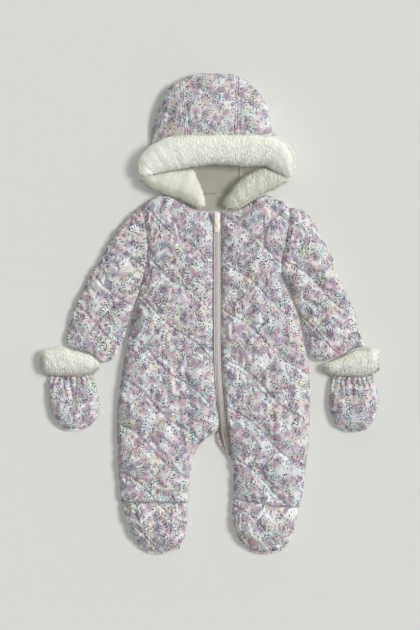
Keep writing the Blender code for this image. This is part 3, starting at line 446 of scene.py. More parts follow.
RIGHT_SLEEVE = table("outer_x outer_y under_x under_y height", (
    (-118, 181, -119, 42, 28), (-137, 165, -121, 36, 30),
    (-154, 144, -124, 27, 30), (-172, 118, -128, 16, 30),
    (-187, 94, -132, 3, 29), (-201, 70, -136, -10, 28),
    (-213, 44, -140, -24, 28), (-224, 21, -144, -37, 27),
    (-233, -2, -149, -48, 27), (-239, -26, -153, -57, 26),
    (-242, -44, -157, -66, 26), (-239, -56, -162, -75, 25),
))
LEFT_SLEEVE = table("outer_x outer_y under_x under_y height", (
    (137, 181, 124, 64, 28), (154, 176, 128, 58, 30),
    (169, 163, 133, 48, 30), (183, 141, 138, 37, 30),
    (195, 120, 143, 26, 30), (206, 100, 147, 14, 29),
    (216, 78, 152, 1, 28), (227, 53, 156, -12, 28),
    (238, 29, 159, -25, 27), (246, 3, 162, -37, 27),
    (253, -22, 165, -50, 26), (260, -46, 168, -61, 26),
    (266, -55, 176, -73, 25),
))
RIGHT_HEM = table("x y", (
    (-239, -56), (-220, -61), (-203, -65), (-190, -75), (-181, -82),
    (-169, -80), (-162, -75),
))
LEFT_HEM = table("x y", (
    (266, -55), (252, -56), (239, -61), (222, -70), (205, -76),
    (191, -80), (176, -73),
))
RIGHT_CUFF = table("x upper lower", (
    (-291.5, -72, -79), (-287, -61, -91), (-276, -57, -102), (-256, -54, -106),
    (-244, -53.5, -106), (-239, -57.5, -106), (-220, -62.4, -106),
    (-203, -66.6, -102), (-190, -77, -92), (-184, -83, -87),
))
LEFT_CUFF = table("x upper lower", (
    (291.5, -73, -80), (286, -57, -94), (272, -54, -103), (267, -58, -105),
    (252, -58.5, -107), (239, -62.6, -107), (222, -71.6, -106),
    (205, -78, -102), (191, -82, -93), (187, -84, -88),
))
RIGHT_MITTEN = table("y near far height", (
    (-107, -270, -200, 20), (-114, -273, -196, 22), (-121, -275, -193, 21),
    (-133, -274, -189, 24), (-146, -273, -187, 25), (-160, -271, -186, 25),
    (-171, -268, -188, 24), (-184, -261, -197, 21), (-192, -253, -206, 17),
    (-198, -241, -217, 12),
))
LEFT_MITTEN = table("y near far height", (
    (-107, 209, 276, 20), (-114, 206, 279, 22), (-122, 204, 283, 21),
    (-134, 203, 286, 24), (-147, 202, 288, 25), (-160, 203, 287, 25),
    (-175, 207, 282, 24), (-187, 213, 274, 21), (-195, 223, 266, 17),
    (-200, 236, 252, 12),
))
HOOD = table("out_x out_y front_x front_y front_z foot_x", (
    (-89, 212, -82, 216, 16, -71), (-106, 228, -97, 230, 18, -62),
    (-113, 252, -103, 252, 18, -52), (-109, 274, -98, 272, 19, -43),
    (-101, 291, -90, 288, 21, -38), (-96, 320, -79, 297.5, 28, -33),
    (-87, 348, -67, 301, 38, -28), (-71, 381, -52, 303.6, 45, -21),
    (-48, 398, -38, 304.6, 48, -14), (-20, 406, -16, 305, 49, -3),
    (4, 407.7, 6, 305, 50, 9), (28, 407.7, 28, 305, 50, 21),
    (49, 404, 46, 305, 48, 33), (70, 390, 64, 305, 46, 40),
    (86, 371, 79, 305, 43, 47), (99, 347, 93, 304.6, 38, 54),
    (107, 321, 103, 303.6, 29, 60), (118, 299, 108, 294, 21, 65),
    (130, 282, 119, 279, 19, 71), (135, 257, 125, 256, 18, 76),
    (128, 233, 119, 235, 18, 82), (111, 214, 104, 218, 16, 89),
))
FUR_TOP = table("outer_x outer_y inner_x inner_y z half", (
    (-118, 237, -108, 233, 33, 14), (-122, 246, -95, 236.4, 33, 17),
    (-119, 265, -81, 239.8, 34, 19), (-105, 281, -66, 242.4, 37, 20),
    (-84, 294, -49, 245.2, 40, 20), (-59, 300.6, -35, 248, 42, 20),
    (-25, 303.4, -14, 251, 43, 20), (11, 304, 14, 253, 43, 20),
    (48, 304, 42, 251, 43, 20), (81, 303.6, 65, 249.4, 42, 20),
    (105, 302, 84, 251, 40, 20), (123, 296, 96, 250.6, 38, 20),
    (137, 281, 106, 244, 36, 20), (144, 262, 118, 237.6, 34, 19),
    (144, 245, 128, 232.4, 33, 17), (139, 234.4, 133, 230, 33, 13),
))
FUR_RIGHT = table("outer_x outer_y inner_x inner_y z half", (
    (-117, 226, -108, 231.6, 31, 13), (-106, 217, -90, 236, 32, 17),
    (-93, 210, -70, 239.8, 32, 18), (-79, 205, -48, 243.2, 32, 18),
    (-64, 200, -31, 243.4, 32, 18), (-50, 194.6, -20, 229, 32, 18),
    (-38, 188.4, -14, 215, 32, 18), (-28, 183, -9, 199, 31, 17),
    (-21, 179.6, -5, 184, 30, 14),
))
FUR_LEFT = table("outer_x outer_y inner_x inner_y z half", (
    (135, 225, 129, 229, 31, 13), (125, 219, 117, 235.4, 32, 17),
    (115, 213, 104, 242, 32, 18), (103, 207, 90, 246, 32, 18),
    (89, 201.6, 70, 239.6, 32, 18), (76, 194.6, 54, 230, 32, 18),
    (64, 188, 41, 216, 32, 18), (54, 182.6, 31, 202, 31, 17),
    (45, 179, 18, 185, 30, 14),
))
ZIP = table("y x z right left fall", (
    (172, 12.8, 25, 6.2, 6.2, 0), (143, 12.8, 27, 6.2, 6.2, 0), (90, 12.8, 28, 6.2, 6.2, 0),
    (-53, 12.8, 28, 6.2, 6.2, 0), (-104, 14.4, 27, 6.2, 6.2, 2), (-155, 18.6, 24, 6.2, 6.2, 4),
    (-186, 21.6, 21, 6.5, 6.5, 7), (-201, 22.8, 19.5, 11.5, 7.2, 12),
    (-217, 25.6, 18, 9.4, 7.2, 11), (-230, 28.6, 15.5, 5.0, 5.5, 7),
    (-238, 31.0, 13.8, 2.0, 3.0, 3),
))
CREASES = table("x0 y0 x1 y1 width depth", (
    (-189, 41, -165, 4, 9, 4.0), (-222, 15, -190, -14, 8, 3.5),
    (-138, 98, -128, 52, 8, 3.5), (-236, -30, -205, -38, 7, 3.0),
    (154, 112, 138, 66, 8, 4.0), (214, 74, 176, 40, 9, 4.0),
    (244, 8, 205, -12, 8, 3.5), (258, -36, 216, -46, 7, 3.0),
    (-2, -188, -60, -160, 9, 3.0), (34, -186, 88, -150, 9, 3.0),
    (-60, -226, -112, -196, 9, 3.0), (58, -250, 118, -214, 9, 3.5),
))
print("rows of the two fronts:", len(RIGHT_BODY["y"]), len(LEFT_BODY["y"]))

# %% Curves through the rows
def smooth(positions, values, at):
    """Values along a table's first column, by a cubic that never overshoots."""
    order = np.argsort(positions)
    x, y = positions[order], values[order]
    step = np.diff(x)
    slope = np.diff(y) / step
    same_way = slope[:-1] * slope[1:] > 0
    bend = np.where(same_way, slope[:-1] * slope[1:], 0)
    total = np.where(same_way, slope[:-1] + slope[1:], 1)
    tangent = np.concatenate([slope[:1], 2 * bend / total, slope[-1:]])
    at = np.clip(at, x[0], x[-1])
    k = np.clip(np.searchsorted(x, at) - 1, 0, len(step) - 1)
    t = (at - x[k]) / step[k]
    climb = y[k + 1] - y[k]
    a = tangent[k] * step[k] - climb
    b = climb - tangent[k + 1] * step[k]
    return y[k] + t * climb + t * (1 - t) * (a * (1 - t) + b * t)


def rise(distance, reach=EDGE_REACH):
    """The rounding of an edge: 0 on the edge itself, 1 beyond its reach."""
    t = np.clip(distance / reach, 0, 1)
    return np.sqrt(1 - (1 - t) ** 2)


def held(hold, distance, reach=EDGE_REACH):
    """The share of full height near an edge that holds some of it."""
    return hold + (1 - hold) * rise(distance, reach)


def spread(count, crowding=0.6):
    """Positions from 0 to 1, closer together near both ends."""
    even = np.linspace(0, 1, count)
    return (1 - crowding) * even + crowding * (1 - np.cos(np.pi * even)) / 2


def creases(x, y):
    """Depth of the large creases at each place."""
    depth = np.zeros_like(x)
    for x0, y0, x1, y1, width, deep in zip(*CREASES.values()):
        run = np.array((x1 - x0, y1 - y0))
        near = np.clip(((x - x0) * run[0] + (y - y0) * run[1]) / run.dot(run), 0, 1)
        away = np.hypot(x - x0 - near * run[0], y - y0 - near * run[1])
        depth += deep * np.exp(-(away / width) ** 2) * (1 - (2 * near - 1) ** 4)
    return depth


print("creases:", len(CREASES["x0"]), "- half way into an edge's rounding, the rise is",
      round(float(rise(EDGE_REACH / 2)), 2))

# %% [markdown]
# ## Quilting lines
#
# The suit is quilted on a machine that sews two families of wavy lines, one leaning each
# way. For any place on the cloth this gives the distance to the nearest line. It says
# where the cloth is held down, and later where the thread lies.

# %% Distance to the quilting
def quilt_steps(x, y, phases):
    """How many pitches a place lies along each family of stitch lines."""
    wave = QUILT_WAVE * np.sin(2 * np.pi * x / QUILT_WAVE_RUN)
    down = (y + QUILT_SLOPE * x + wave - phases[0]) / QUILT_PITCH
    up = (y - QUILT_SLOPE * x - wave - phases[1]) / QUILT_PITCH
    return down, up


def quilt_away(x, y, phases):
    """Distance in mm from the nearest stitch line of each family."""
    square = QUILT_PITCH / np.hypot(1, QUILT_SLOPE)
    return [np.abs(step - np.round(step)) * square for step in quilt_steps(x, y, phases)]


def loft(x, y, phases):
    """1 in the middle of a quilted diamond, 0 along its stitching."""
    down, up = quilt_steps(x, y, phases)
    return (np.abs(np.sin(np.pi * down)) * np.abs(np.sin(np.pi * up))) ** 0.45


def room(near):
    """The share of its loft that wadding has at a distance from a piece's edge."""
    return np.clip(near / LOFT_REACH, 0, 1) ** 0.7


def fade(value, full, none):
    """A smooth step from 1 at `full` to 0 at `none`."""
    t = np.clip((value - full) / (none - full), 0, 1)
    return 1 - t * t * (3 - 2 * t)


print("a diamond is", round(QUILT_PITCH / QUILT_SLOPE), "by", round(QUILT_PITCH), "mm")

# %% [markdown]
# ## From a grid to a sewn skin
#
# Each cloth piece starts as a flat bmesh grid, as its pattern piece starts as flat cloth.
# The grid's corners are then moved to their places on the suit. Its UV map holds the
# lengths along the cloth, in metres, so the print runs over it as it would on the real
# cut. A `Skin` keeps the places, what is sewn down, and how far it may swell.

# %% Skins
def laid_flat(points, fold, far, turn, offset):
    """Where each point lies on the flat cut, in mm: each row is rolled out from its
    point number `fold` towards its point number `far`, and comes back after `turn`."""
    across = np.linalg.norm(np.diff(points, axis=1), axis=-1).cumsum(axis=1)
    across = np.pad(across, ((0, 0), (1, 0)))
    across -= across[:, [fold]]
    across = across[:, [turn]] - np.abs(across - across[:, [turn]])
    way = points[:, far, :2] - points[:, fold, :2]
    way /= np.maximum(np.linalg.norm(way, axis=-1, keepdims=True), 1)
    way *= np.sign(far - fold)
    return points[:, [fold], :2] + across[..., None] * way[:, None, :] + offset


def add_grid(bm, points, flat=None):
    """Adds a grid with its corners at `points` (mm) and its UVs at `flat` (mm)."""
    rows, columns = points.shape[:2]
    verts = bmesh.ops.create_grid(
        bm, x_segments=columns - 1, y_segments=rows - 1, size=1)["verts"]
    for vert, place in zip(verts, points.reshape(-1, 3) * MM):
        vert.co = place
    cut = bm.loops.layers.uv.get("cloth") or bm.loops.layers.uv.new("cloth")
    flat = (points[..., :2] if flat is None else flat).reshape(-1, 2) * MM
    for vert, place in zip(verts, flat):
        for loop in vert.link_loops:
            loop[cut].uv = place
    return verts


def to_object(bm, name, *materials, keep_sharp=40):
    """Turns a bmesh into a shaded object at the origin."""
    mesh = bpy.data.meshes.new(name)
    bm.to_mesh(mesh)
    bm.free()
    for material in materials:
        mesh.materials.append(material)
    mesh.shade_smooth()
    mesh.set_sharp_from_angle(angle=np.radians(keep_sharp))
    made = bpy.data.objects.new(name, mesh)
    bpy.context.scene.collection.objects.link(made)
    return made


class Skin:
    """A padded skin: its places (mm), how firmly each is sewn, and its quilting."""

    def __init__(self, points, sewn, phases=None, fold=0, far=-1, turn=-1, swell=PAD,
                 offset=(0, 0), push=1.0):
        self.points, self.phases, self.swell, self.push = points, phases, swell, push
        self.sewn = sewn.copy()
        if phases:
            for away in quilt_away(points[..., 0], points[..., 1], phases):
                self.sewn = np.maximum(self.sewn, fade(away, 0.9, 3.6))
        for edge in (np.s_[0], np.s_[-1], np.s_[:, 0], np.s_[:, -1]):
            self.sewn[edge] = 1
        columns = points.shape[1]
        self.flat = laid_flat(points, fold % columns, far % columns, turn, np.array(offset))


def grid_normals(points):
    """The unit normal at each point of a grid."""
    normal = np.cross(np.gradient(points, axis=0), np.gradient(points, axis=1))
    return normal / np.linalg.norm(normal, axis=-1, keepdims=True)


level = np.dstack([*np.meshgrid(range(3), range(3), indexing="ij"), np.zeros((3, 3))])
print("the normal of a level grid:", grid_normals(level)[1, 1])

# %% [markdown]
# ## Letting the wadding swell
#
# Real quilting puckers because wadding pushes the cloth out while the stitches hold it
# down. Blender's cloth simulation does the same: the sewn points are pinned, a little
# pressure pushes the rest outward, and a negative shrink gives the cloth a few percent of
# extra length to buckle with. Gravity is off. All skins are settled side by side, so the
# frames are stepped only once, and only the settled places are kept.

# %% Settling
FRAMES = 26
SLACK = 0.09            # extra length of the cloth over the wadding
PRESSURE = 4.0
FIRST_LOFT = 0.45       # share of the wadding's loft that the cut already has
CLOTH = {
    "quality": 5, "mass": 0.12, "tension_stiffness": 12, "compression_stiffness": 12,
    "shear_stiffness": 4, "bending_stiffness": 0.25, "tension_damping": 8,
    "compression_damping": 8, "shear_damping": 8, "bending_damping": 1,
}
print("frames to settle in:", FRAMES)


def cloth_object(name, skin):
    """A grid with a Cloth modifier, pinned where it is sewn."""
    bm = bmesh.new()
    add_grid(bm, skin.points)
    bm.normal_update()
    upper = [face for face in bm.faces if face.calc_center_median().z > 1.3 * SEAM_Z * MM]
    if sum(face.normal.z * face.calc_area() for face in upper) < 0:
        bmesh.ops.reverse_faces(bm, faces=bm.faces)
    made = to_object(bm, name)
    group = made.vertex_groups.new(name="sewn")
    for index, weight in enumerate(skin.sewn.ravel()):
        if weight > 0.01:
            group.add([index], weight, "REPLACE")
    cloth = made.modifiers.new("wadding", "CLOTH")
    settings = cloth.settings
    for setting, value in CLOTH.items():
        setattr(settings, setting, value)
    settings.use_pressure = True
    settings.uniform_pressure_force = PRESSURE * skin.push
    settings.shrink_min = -SLACK * min(1, 2 * skin.push)
    settings.vertex_group_mass = "sewn"
    settings.effector_weights.gravity = 0
    cloth.collision_settings.use_collision = False
    cloth.point_cache.frame_end = FRAMES
    return made


def settle(skins):
    """Swells each skin and returns its settled places."""
    made = {name: cloth_object("settling_" + name, skin) for name, skin in skins.items()}
    for number in range(1, FRAMES + 1):
        bpy.context.scene.frame_set(number)
    graph = bpy.context.evaluated_depsgraph_get()
    done = {}
    for name, item in made.items():
        skin = skins[name]
        places = np.empty(skin.points.size, np.float32)
        item.evaluated_get(graph).data.vertices.foreach_get("co", places)
        moved = places.reshape(skin.points.shape) / MM - skin.points
        far = np.linalg.norm(moved, axis=-1, keepdims=True)
        done[name] = skin.points + moved * np.minimum(1, 1.4 * skin.swell / np.maximum(far, 1e-6))
        print(f"{name}: swells {far.max():.1f} mm at most, {far.mean():.1f} mm on average")
    for item in made.values():
        mesh = item.data
        bpy.data.objects.remove(item)
        bpy.data.meshes.remove(mesh)
    bpy.context.scene.frame_set(1)
    return done


def finer(grid):
    """Doubles a grid's points each way, on a curve through its own points."""
    for axis in (0, 1):
        grid = np.moveaxis(grid, axis, 0)
        before, after = 2 * grid[:1] - grid[1:2], 2 * grid[-1:] - grid[-2:-1]
        long = np.concatenate([before, grid, after])
        middle = (9 * (long[1:-2] + long[2:-1]) - long[:-3] - long[3:]) / 16
        fine = np.empty((2 * len(grid) - 1, *grid.shape[1:]))
        fine[::2], fine[1::2] = grid, middle
        grid = np.moveaxis(fine, 0, axis)
    return grid


# %% [markdown]
# ## Fronts and feet
#
# Each front is one long piece from the neckline to the ankle, with half the zip on its
# inner edge. Its skin rises quickly from the side seam, stays flat over the body, and
# dips again into each seam. A seam looks soft because both sides dive into it.

# %% Panels
EDGE_Z = SEAM_Z + 1.2   # lowest edge of an upper skin


class Panel:
    """A piece cut between a side edge, a center edge and two ends."""

    def __init__(self, rows, top, bottom, center=None):
        self.rows, self.top, self.bottom = rows, top, bottom
        self.center = center or rows
        self.inward = np.sign(rows["center"].mean() - rows["side"].mean())

    def side_x(self, y):
        return smooth(self.rows["y"], self.rows["side"], y)

    def plan(self, down, across):
        """Places on the panel, with the distance to each of its four edges."""
        down, across = np.meshgrid(down, across, indexing="ij")
        top = smooth(self.top["across"], self.top["y"], across) - GAP / 2
        bottom = smooth(self.bottom["across"], self.bottom["y"], across) + GAP / 2
        y = top + (bottom - top) * down
        side = self.side_x(y) + self.inward * GAP / 2
        center = smooth(self.center["y"], self.center["center"], y) - self.inward * GAP / 2
        width = np.abs(center - side)
        edges = (across * width, (1 - across) * width,
                 down * (top - bottom), (1 - down) * (top - bottom))
        return side + (center - side) * across, y, across, edges

    def fullness(self, y, across, edges, reach=EDGE_REACH):
        """The share of full height that the four edges leave."""
        to_side, to_center, to_top, to_bottom = edges
        side_hold = smooth(self.rows["y"], self.rows["side_hold"], y)
        center_hold = smooth(self.rows["y"], self.rows["center_hold"], y)
        top_hold = smooth(self.top["across"], self.top["hold"], across)
        bottom_hold = smooth(self.bottom["across"], self.bottom["hold"], across)
        return (held(side_hold, to_side, reach) * held(center_hold, to_center, reach)
                * held(top_hold, to_top, reach) * held(bottom_hold, to_bottom, reach))

    def upper(self, rows, columns, phases, offset):
        """The outer skin, before its wadding swells."""
        x, y, across, edges = self.plan(np.linspace(0, 1, rows), spread(columns, 0.3))
        height = smooth(self.rows["y"], self.rows["height"], y)
        z = EDGE_Z + (height - EDGE_Z) * self.fullness(y, across, edges)
        near = np.minimum.reduce(edges)
        z = np.maximum(z - SEAM_TUCK * (1 - rise(near, TUCK_REACH)), EDGE_Z)
        z += FIRST_LOFT * PAD * loft(x, y, phases) * room(near)
        return Skin(np.stack([x, y, z], axis=-1), np.zeros_like(x), phases,
                    fold=-1, far=0, offset=offset)

    def under(self, rows, columns):
        """The skin on the floor, rounded up at the outline."""
        x, y, across, edges = self.plan(np.linspace(0, 1, rows), spread(columns, 0.5))
        full = self.fullness(y, across, edges, reach=UNDER_REACH)
        return np.stack([x, y, (SEAM_Z - 1) * (1 - full)], axis=-1)


front_right = Panel(RIGHT_BODY, RIGHT_NECKLINE, RIGHT_ANKLE)
front_left = Panel(LEFT_BODY, LEFT_NECKLINE, LEFT_ANKLE)


def foot(rows, ankle, toe, sole=False):
    """A foot's upper, or its sole, which shows a little past the toe seam."""
    ankle = {**ankle, "y": ankle["y"] - 2 * GAP}
    toe = {**toe, "y": toe["y"] - SOLE_SHOWS * sole}
    return Panel(rows, ankle, toe)


skins = {
    "front_right": front_right.upper(147, 41, RIGHT_QUILT, (0, 0)),
    "front_left": front_left.upper(147, 41, LEFT_QUILT, (0, 0)),
    "foot_upper_right": foot(RIGHT_FOOT, RIGHT_ANKLE, RIGHT_TOE).upper(
        27, 35, RIGHT_QUILT, (40, 300)),
    "foot_upper_left": foot(LEFT_FOOT, LEFT_ANKLE, LEFT_TOE).upper(
        27, 35, LEFT_QUILT, (-60, 250)),
}
print("panel skins:", {name: skin.points.shape[:2] for name, skin in skins.items()})

# %% [markdown]
# ## Sleeves and mittens
#
# A sleeve that lies flat is a tube pressed nearly shut. Its grid starts at the underarm
# seam, goes over the top to the outer fold and back along the floor to the same seam.
# Only the upper half is free to swell. The mittens are made alike, but they are drawn
# together by gathers where they leave the cuff.

# %% Flat tubes
TOP_SHARE = 0.68        # share of a ring's points that lie on top
END_REACH = 20.0        # of the rounding at a tube's two ends
TUBE_OFF_FLOOR = 0.3


def flat_tube(plan, height, along, columns, hold_start, hold_end, reach, under_reach):
    """Places round a tube that lies flat: over the top, then back along the floor."""
    top = spread(int(columns * TOP_SHARE), 0.4)[::-1]
    low = spread(columns - len(top) + 1, 0.4)[1:]
    x, y, width, from_start, to_end = plan(along, np.concatenate([top, low]))
    t = np.broadcast_to(np.concatenate([top, low]), x.shape)
    near = np.minimum(t, 1 - t) * width
    ends = held(hold_start, from_start, END_REACH) * held(hold_end, to_end, END_REACH)
    up = SEAM_Z + (height(along)[:, None] - SEAM_Z) * rise(near, reach) * ends
    near_end = np.minimum(from_start, to_end)
    up -= SEAM_TUCK * (1 - rise(near_end, TUCK_REACH)) * rise(near, reach)
    down = SEAM_Z - (SEAM_Z - TUBE_OFF_FLOOR) * rise(near, under_reach)
    on_top = np.arange(x.shape[1]) < len(top)
    z = np.where(on_top, np.maximum(up, SEAM_Z), down)
    sewn = np.where(on_top, 0.0, 1.0) * np.ones_like(x)
    return np.stack([x, y, z], axis=-1), sewn, near, len(top) - 1


def sleeve(rows, body, hem, phases, offset):
    """A set-in sleeve from the body's armhole to its hem over the cuff."""
    station = np.linspace(0, 1, len(rows["height"]))

    def plan(along, across):
        along, across = np.meshgrid(along, across, indexing="ij")
        outer_x, outer_y, under_x, under_y = (
            smooth(station, rows[column], along)
            for column in ("outer_x", "outer_y", "under_x", "under_y"))
        x = outer_x + (under_x - outer_x) * across
        y = outer_y + (under_y - outer_y) * across
        first_x = rows["outer_x"][0] * (1 - across) + rows["under_x"][0] * across
        first_y = rows["outer_y"][0] * (1 - across) + rows["under_y"][0] * across
        armhole = body.side_x(first_y)
        x += (armhole - first_x) * np.clip(1 - along / 0.4, 0, 1) ** 1.5
        last_x = rows["outer_x"][-1] * (1 - across) + rows["under_x"][-1] * across
        last_y = rows["outer_y"][-1] * (1 - across) + rows["under_y"][-1] * across
        drop = smooth(hem["x"], hem["y"], last_x) - last_y
        y += drop * np.clip((along - 0.7) / 0.3, 0, 1) ** 2
        width = np.hypot(under_x - outer_x, under_y - outer_y)
        length = SLEEVE_OUTER + (SLEEVE_UNDER - SLEEVE_OUTER) * across
        return x, y, width, along * length, (1 - along) * length

    def height(along):
        return smooth(station, rows["height"], along)

    points, sewn, near, fold = flat_tube(
        plan, height, np.linspace(0, 1, 61), 62, 0.75, 0.8, EDGE_REACH, 22)
    full = room(near) * (points[..., 2] > SEAM_Z)
    points[..., 2] += FIRST_LOFT * PAD * loft(points[..., 0], points[..., 1], phases) * full
    return Skin(points, sewn, phases, fold=fold, far=0, turn=fold + 5, offset=offset)


GATHERS = ((0.09, 3.2), (0.20, 2.6), (0.34, 6.2), (0.47, 6.2), (0.60, 3.4),
           (0.71, 2.8), (0.82, 4.4), (0.92, 2.8))     # place across the wrist, depth
GATHER_WIDTH = 0.035    # of one, as a share of the wrist


def mitten(rows, cuff_rows, offset):
    """A mitten, gathered where it leaves the cuff and closed at its tip."""
    length = rows["y"][0] - rows["y"][-1]

    def plan(along, across):
        along, across = np.meshgrid(along, across, indexing="ij")
        y = rows["y"][0] - length * along
        near = smooth(rows["y"], rows["near"], y)
        far = smooth(rows["y"], rows["far"], y)
        x = near + (far - near) * across
        wrist = smooth(cuff_rows["x"], cuff_rows["lower"], x) - 3 * GAP
        y += (wrist - rows["y"][0]) * np.clip(1 - along / 0.25, 0, 1) ** 2
        return x, y, far - near, along * length + 12, length * (1 - along)

    def height(along):
        return 4 + smooth(rows["y"], rows["height"], rows["y"][0] - length * along)

    along = np.linspace(0, 1, 37)
    points, sewn, near, fold = flat_tube(plan, height, along, 54, 0.5, 0.0, 24, 15)
    across = np.abs(points[..., 0] - points[:, [fold], 0])
    across /= np.maximum(across[:, [0]], 1)
    spare = rise(near, 14) * (points[..., 2] > SEAM_Z)
    for place, depth in GATHERS:
        run = 12 + 5 * depth
        fades = np.clip(1 - (rows["y"][0] - points[..., 1]) / run, 0, 1) ** 1.3
        points[..., 2] -= depth * fades * spare * np.exp(-((across - place) / GATHER_WIDTH) ** 2)
    sewn = np.maximum(sewn, fade(near, 0.5, 2.5))
    return Skin(points, sewn, fold=fold, far=0, turn=fold + 5, swell=5.0, offset=offset,
                push=0.4)


skins["sleeve_right"] = sleeve(RIGHT_SLEEVE, front_right, RIGHT_HEM, SLEEVE_QUILT_RIGHT,
                               (-150, 40))
skins["sleeve_left"] = sleeve(LEFT_SLEEVE, front_left, LEFT_HEM, SLEEVE_QUILT_LEFT,
                              (180, -20))
skins["mitten_right"] = mitten(RIGHT_MITTEN, RIGHT_CUFF, (30, -70))
skins["mitten_left"] = mitten(LEFT_MITTEN, LEFT_CUFF, (-50, -90))
print("with sleeves and mittens:", len(skins), "skins")

# %% [markdown]
# ## The hood
#
# The hood is three panels: a centre strip from the forehead to the nape and a panel on
# each side. Each line of points starts at the fur, goes over the crown, rolls under at
# the outline and runs along the floor to the neck seam. The panels share those lines, so
# they meet exactly. Only the seams and the topstitching beside them are held.

# %% Hood panels
TOPSTITCH = 4.4         # from a seam to the row of stitches beside it
UNDER_FUR = 5.0         # of the hood's front edge that the fur hides
CROWN_POINTS = 30       # of a line from the fur to the outline
ROLL_POINTS = 7         # round the outline, and again along the floor
BOXY = 2.6              # how square the crown's profile is; 2 would be round
OFF_FLOOR = 0.2


def hood_lines(first, last, count):
    """The hood's outer face between two rows of its table, and its wall's thickness."""
    at = np.linspace(first, last, count)
    column = {name: smooth(np.arange(len(values)), values, at)
              for name, values in HOOD.items()}
    out = np.stack([column["out_x"], column["out_y"]], axis=-1)[:, None]
    front = np.stack([column["front_x"], column["front_y"]], axis=-1)[:, None]
    nape = np.stack([column["foot_x"], np.full(count, NECK_SEAM_Y + GAP / 2)], axis=-1)[:, None]
    top_z = column["front_z"][:, None]
    mid_z = 0.42 * top_z
    roll = np.minimum(HOOD_ROLL, 0.6 * top_z)
    inward = (nape - out) / np.linalg.norm(nape - out, axis=-1, keepdims=True)
    t = np.sin(np.linspace(0, 1, CROWN_POINTS) * np.pi / 2)[None]
    reach = np.linalg.norm(out - front, axis=-1)
    back = front + (front - out) / reach[..., None] * UNDER_FUR
    crown = np.dstack([back + (out - back) * t[..., None],
                       mid_z + (top_z - mid_z) * (1 - t ** BOXY) ** (1 / BOXY)
                       - 0.2 * top_z * (1 - rise(t * reach, 16))])
    turn = np.linspace(0, np.pi / 2, ROLL_POINTS + 1)[None, 1:]
    under = np.dstack([out + inward * (roll * (1 - np.cos(turn)))[..., None],
                       mid_z * (1 - np.sin(turn)) + OFF_FLOOR])
    t = np.linspace(0, 1, ROLL_POINTS + 1)[None, 1:]
    start = out + inward * roll[..., None]
    floor = np.dstack([start + (nape - start) * t[..., None],
                       np.full((count, ROLL_POINTS), OFF_FLOOR)])
    return np.concatenate([crown, under, floor], axis=1), np.minimum(HOOD_WALL, 0.34 * top_z)


def hood_panel(first, last, count, offset):
    """One panel of the hood: its skin, tucked at its seams, and its inner face."""
    points, wall = hood_lines(first, last, count)
    normal = grid_normals(points)
    inner = points - normal * wall[..., None]
    seam = np.full(points.shape[:2], np.inf)
    for edge in (0, -1):
        seam = np.minimum(seam, np.linalg.norm(points - points[[edge]], axis=-1))
    tuck = 1.3 * (1 - rise(seam, 5.0))
    tuck -= 1.2 * fade(np.abs(seam - 2.2), 0.0, 2.2)
    points = points - normal * tuck[..., None]
    sewn = fade(np.abs(seam - TOPSTITCH), 0.4, 2.0)
    on_floor = CROWN_POINTS + ROLL_POINTS - 1
    sewn[:, on_floor:] = 1
    skin = Skin(points, sewn, fold=0, far=CROWN_POINTS - 1, turn=on_floor, swell=3.0,
                offset=offset, push=0.12)
    skin.inner = inner
    return skin


right_seam, left_seam = HOOD_SEAMS
skins["hood_right"] = hood_panel(0, right_seam, 64, (60, 120))
skins["hood_center"] = hood_panel(right_seam, left_seam, 34, (0, 80))
skins["hood_left"] = hood_panel(left_seam, len(HOOD["out_x"]) - 1, 64, (-80, 150))
print("skins to settle:", len(skins))

# %% Letting them all settle
settled = settle(skins)
print("grids that settled:", len(settled))

# %% [markdown]
# ## Needle lines and closed bodies
#
# A settled skin is doubled in both directions, so that it can carry finer form. The
# needle draws the cloth into a narrow groove, and the spare cloth beside it gathers into
# small puckers across the line. Then the rim is extruded down to the side seam and
# closed, which makes each padded piece one solid body with its faces outward.

# %% Fine form
NEEDLE_DEPTH = 1.9      # of the groove along a line of stitches
NEEDLE_WIDTH = 1.6
PUCKER = 0.65           # height of the small gathers beside it
PUCKER_RUN = 9.0        # from one gather to the next
ELASTIC_DEPTH = 6.5     # of the groove that a mitten's elastic lies in
ELASTIC_AT = 6.0        # and its distance from the mitten's start
ELASTIC_WIDTH = 1.5
PLEAT_WIDTH = 0.018     # of a pleat's crease, as a share of the wrist
KEEP_SHARP = 75         # degrees: cloth is shaded smooth up to this angle
STITCH_GROOVE = 1.9     # depth of the groove under the hood's topstitching
GROOVE_WIDTH = 1.2
print("puckers along a stitch line, mm:", PUCKER_RUN)


def needle_lines(x, y, phases, spare):
    """Height to add for the grooves and puckers of the quilting."""
    added = np.zeros_like(x)
    for away, way in zip(quilt_away(x, y, phases), (1, -1)):
        along = 1.31 * x - way * 0.2 * y
        ripple = np.sin(2 * np.pi * along / PUCKER_RUN + 1.8 * np.sin(along / 7.3 + way))
        added -= NEEDLE_DEPTH * np.exp(-(away / NEEDLE_WIDTH) ** 2)
        added += PUCKER * ripple * np.clip(away / 3, 0, 1) * np.exp(-away / 6)
    return added * spare


def wrist_gathers(base):
    """Depth of the pleats that a mitten's elastic draws, and of the groove it lies in."""
    x = base[..., 0]
    low, high = x.min(axis=1, keepdims=True), x.max(axis=1, keepdims=True)
    across = (x - low) / (high - low)
    down = np.linalg.norm(base[..., :2] - base[:1, :, :2], axis=-1)
    depth = ELASTIC_DEPTH * np.exp(-((down - ELASTIC_AT) / ELASTIC_WIDTH) ** 2)
    for place, deep in GATHERS:
        crease = 0.8 * deep * np.exp(-((across - place) / PLEAT_WIDTH) ** 2)
        depth += crease * np.clip(1 - down / (10 + 4 * deep), 0, 1)
    return depth * np.clip((base[..., 2] - SEAM_Z) / 3, 0, 1)


# %% Closed bodies
def outward(bm):
    """Turns every face to the outside."""
    bmesh.ops.recalc_face_normals(bm, faces=bm.faces)


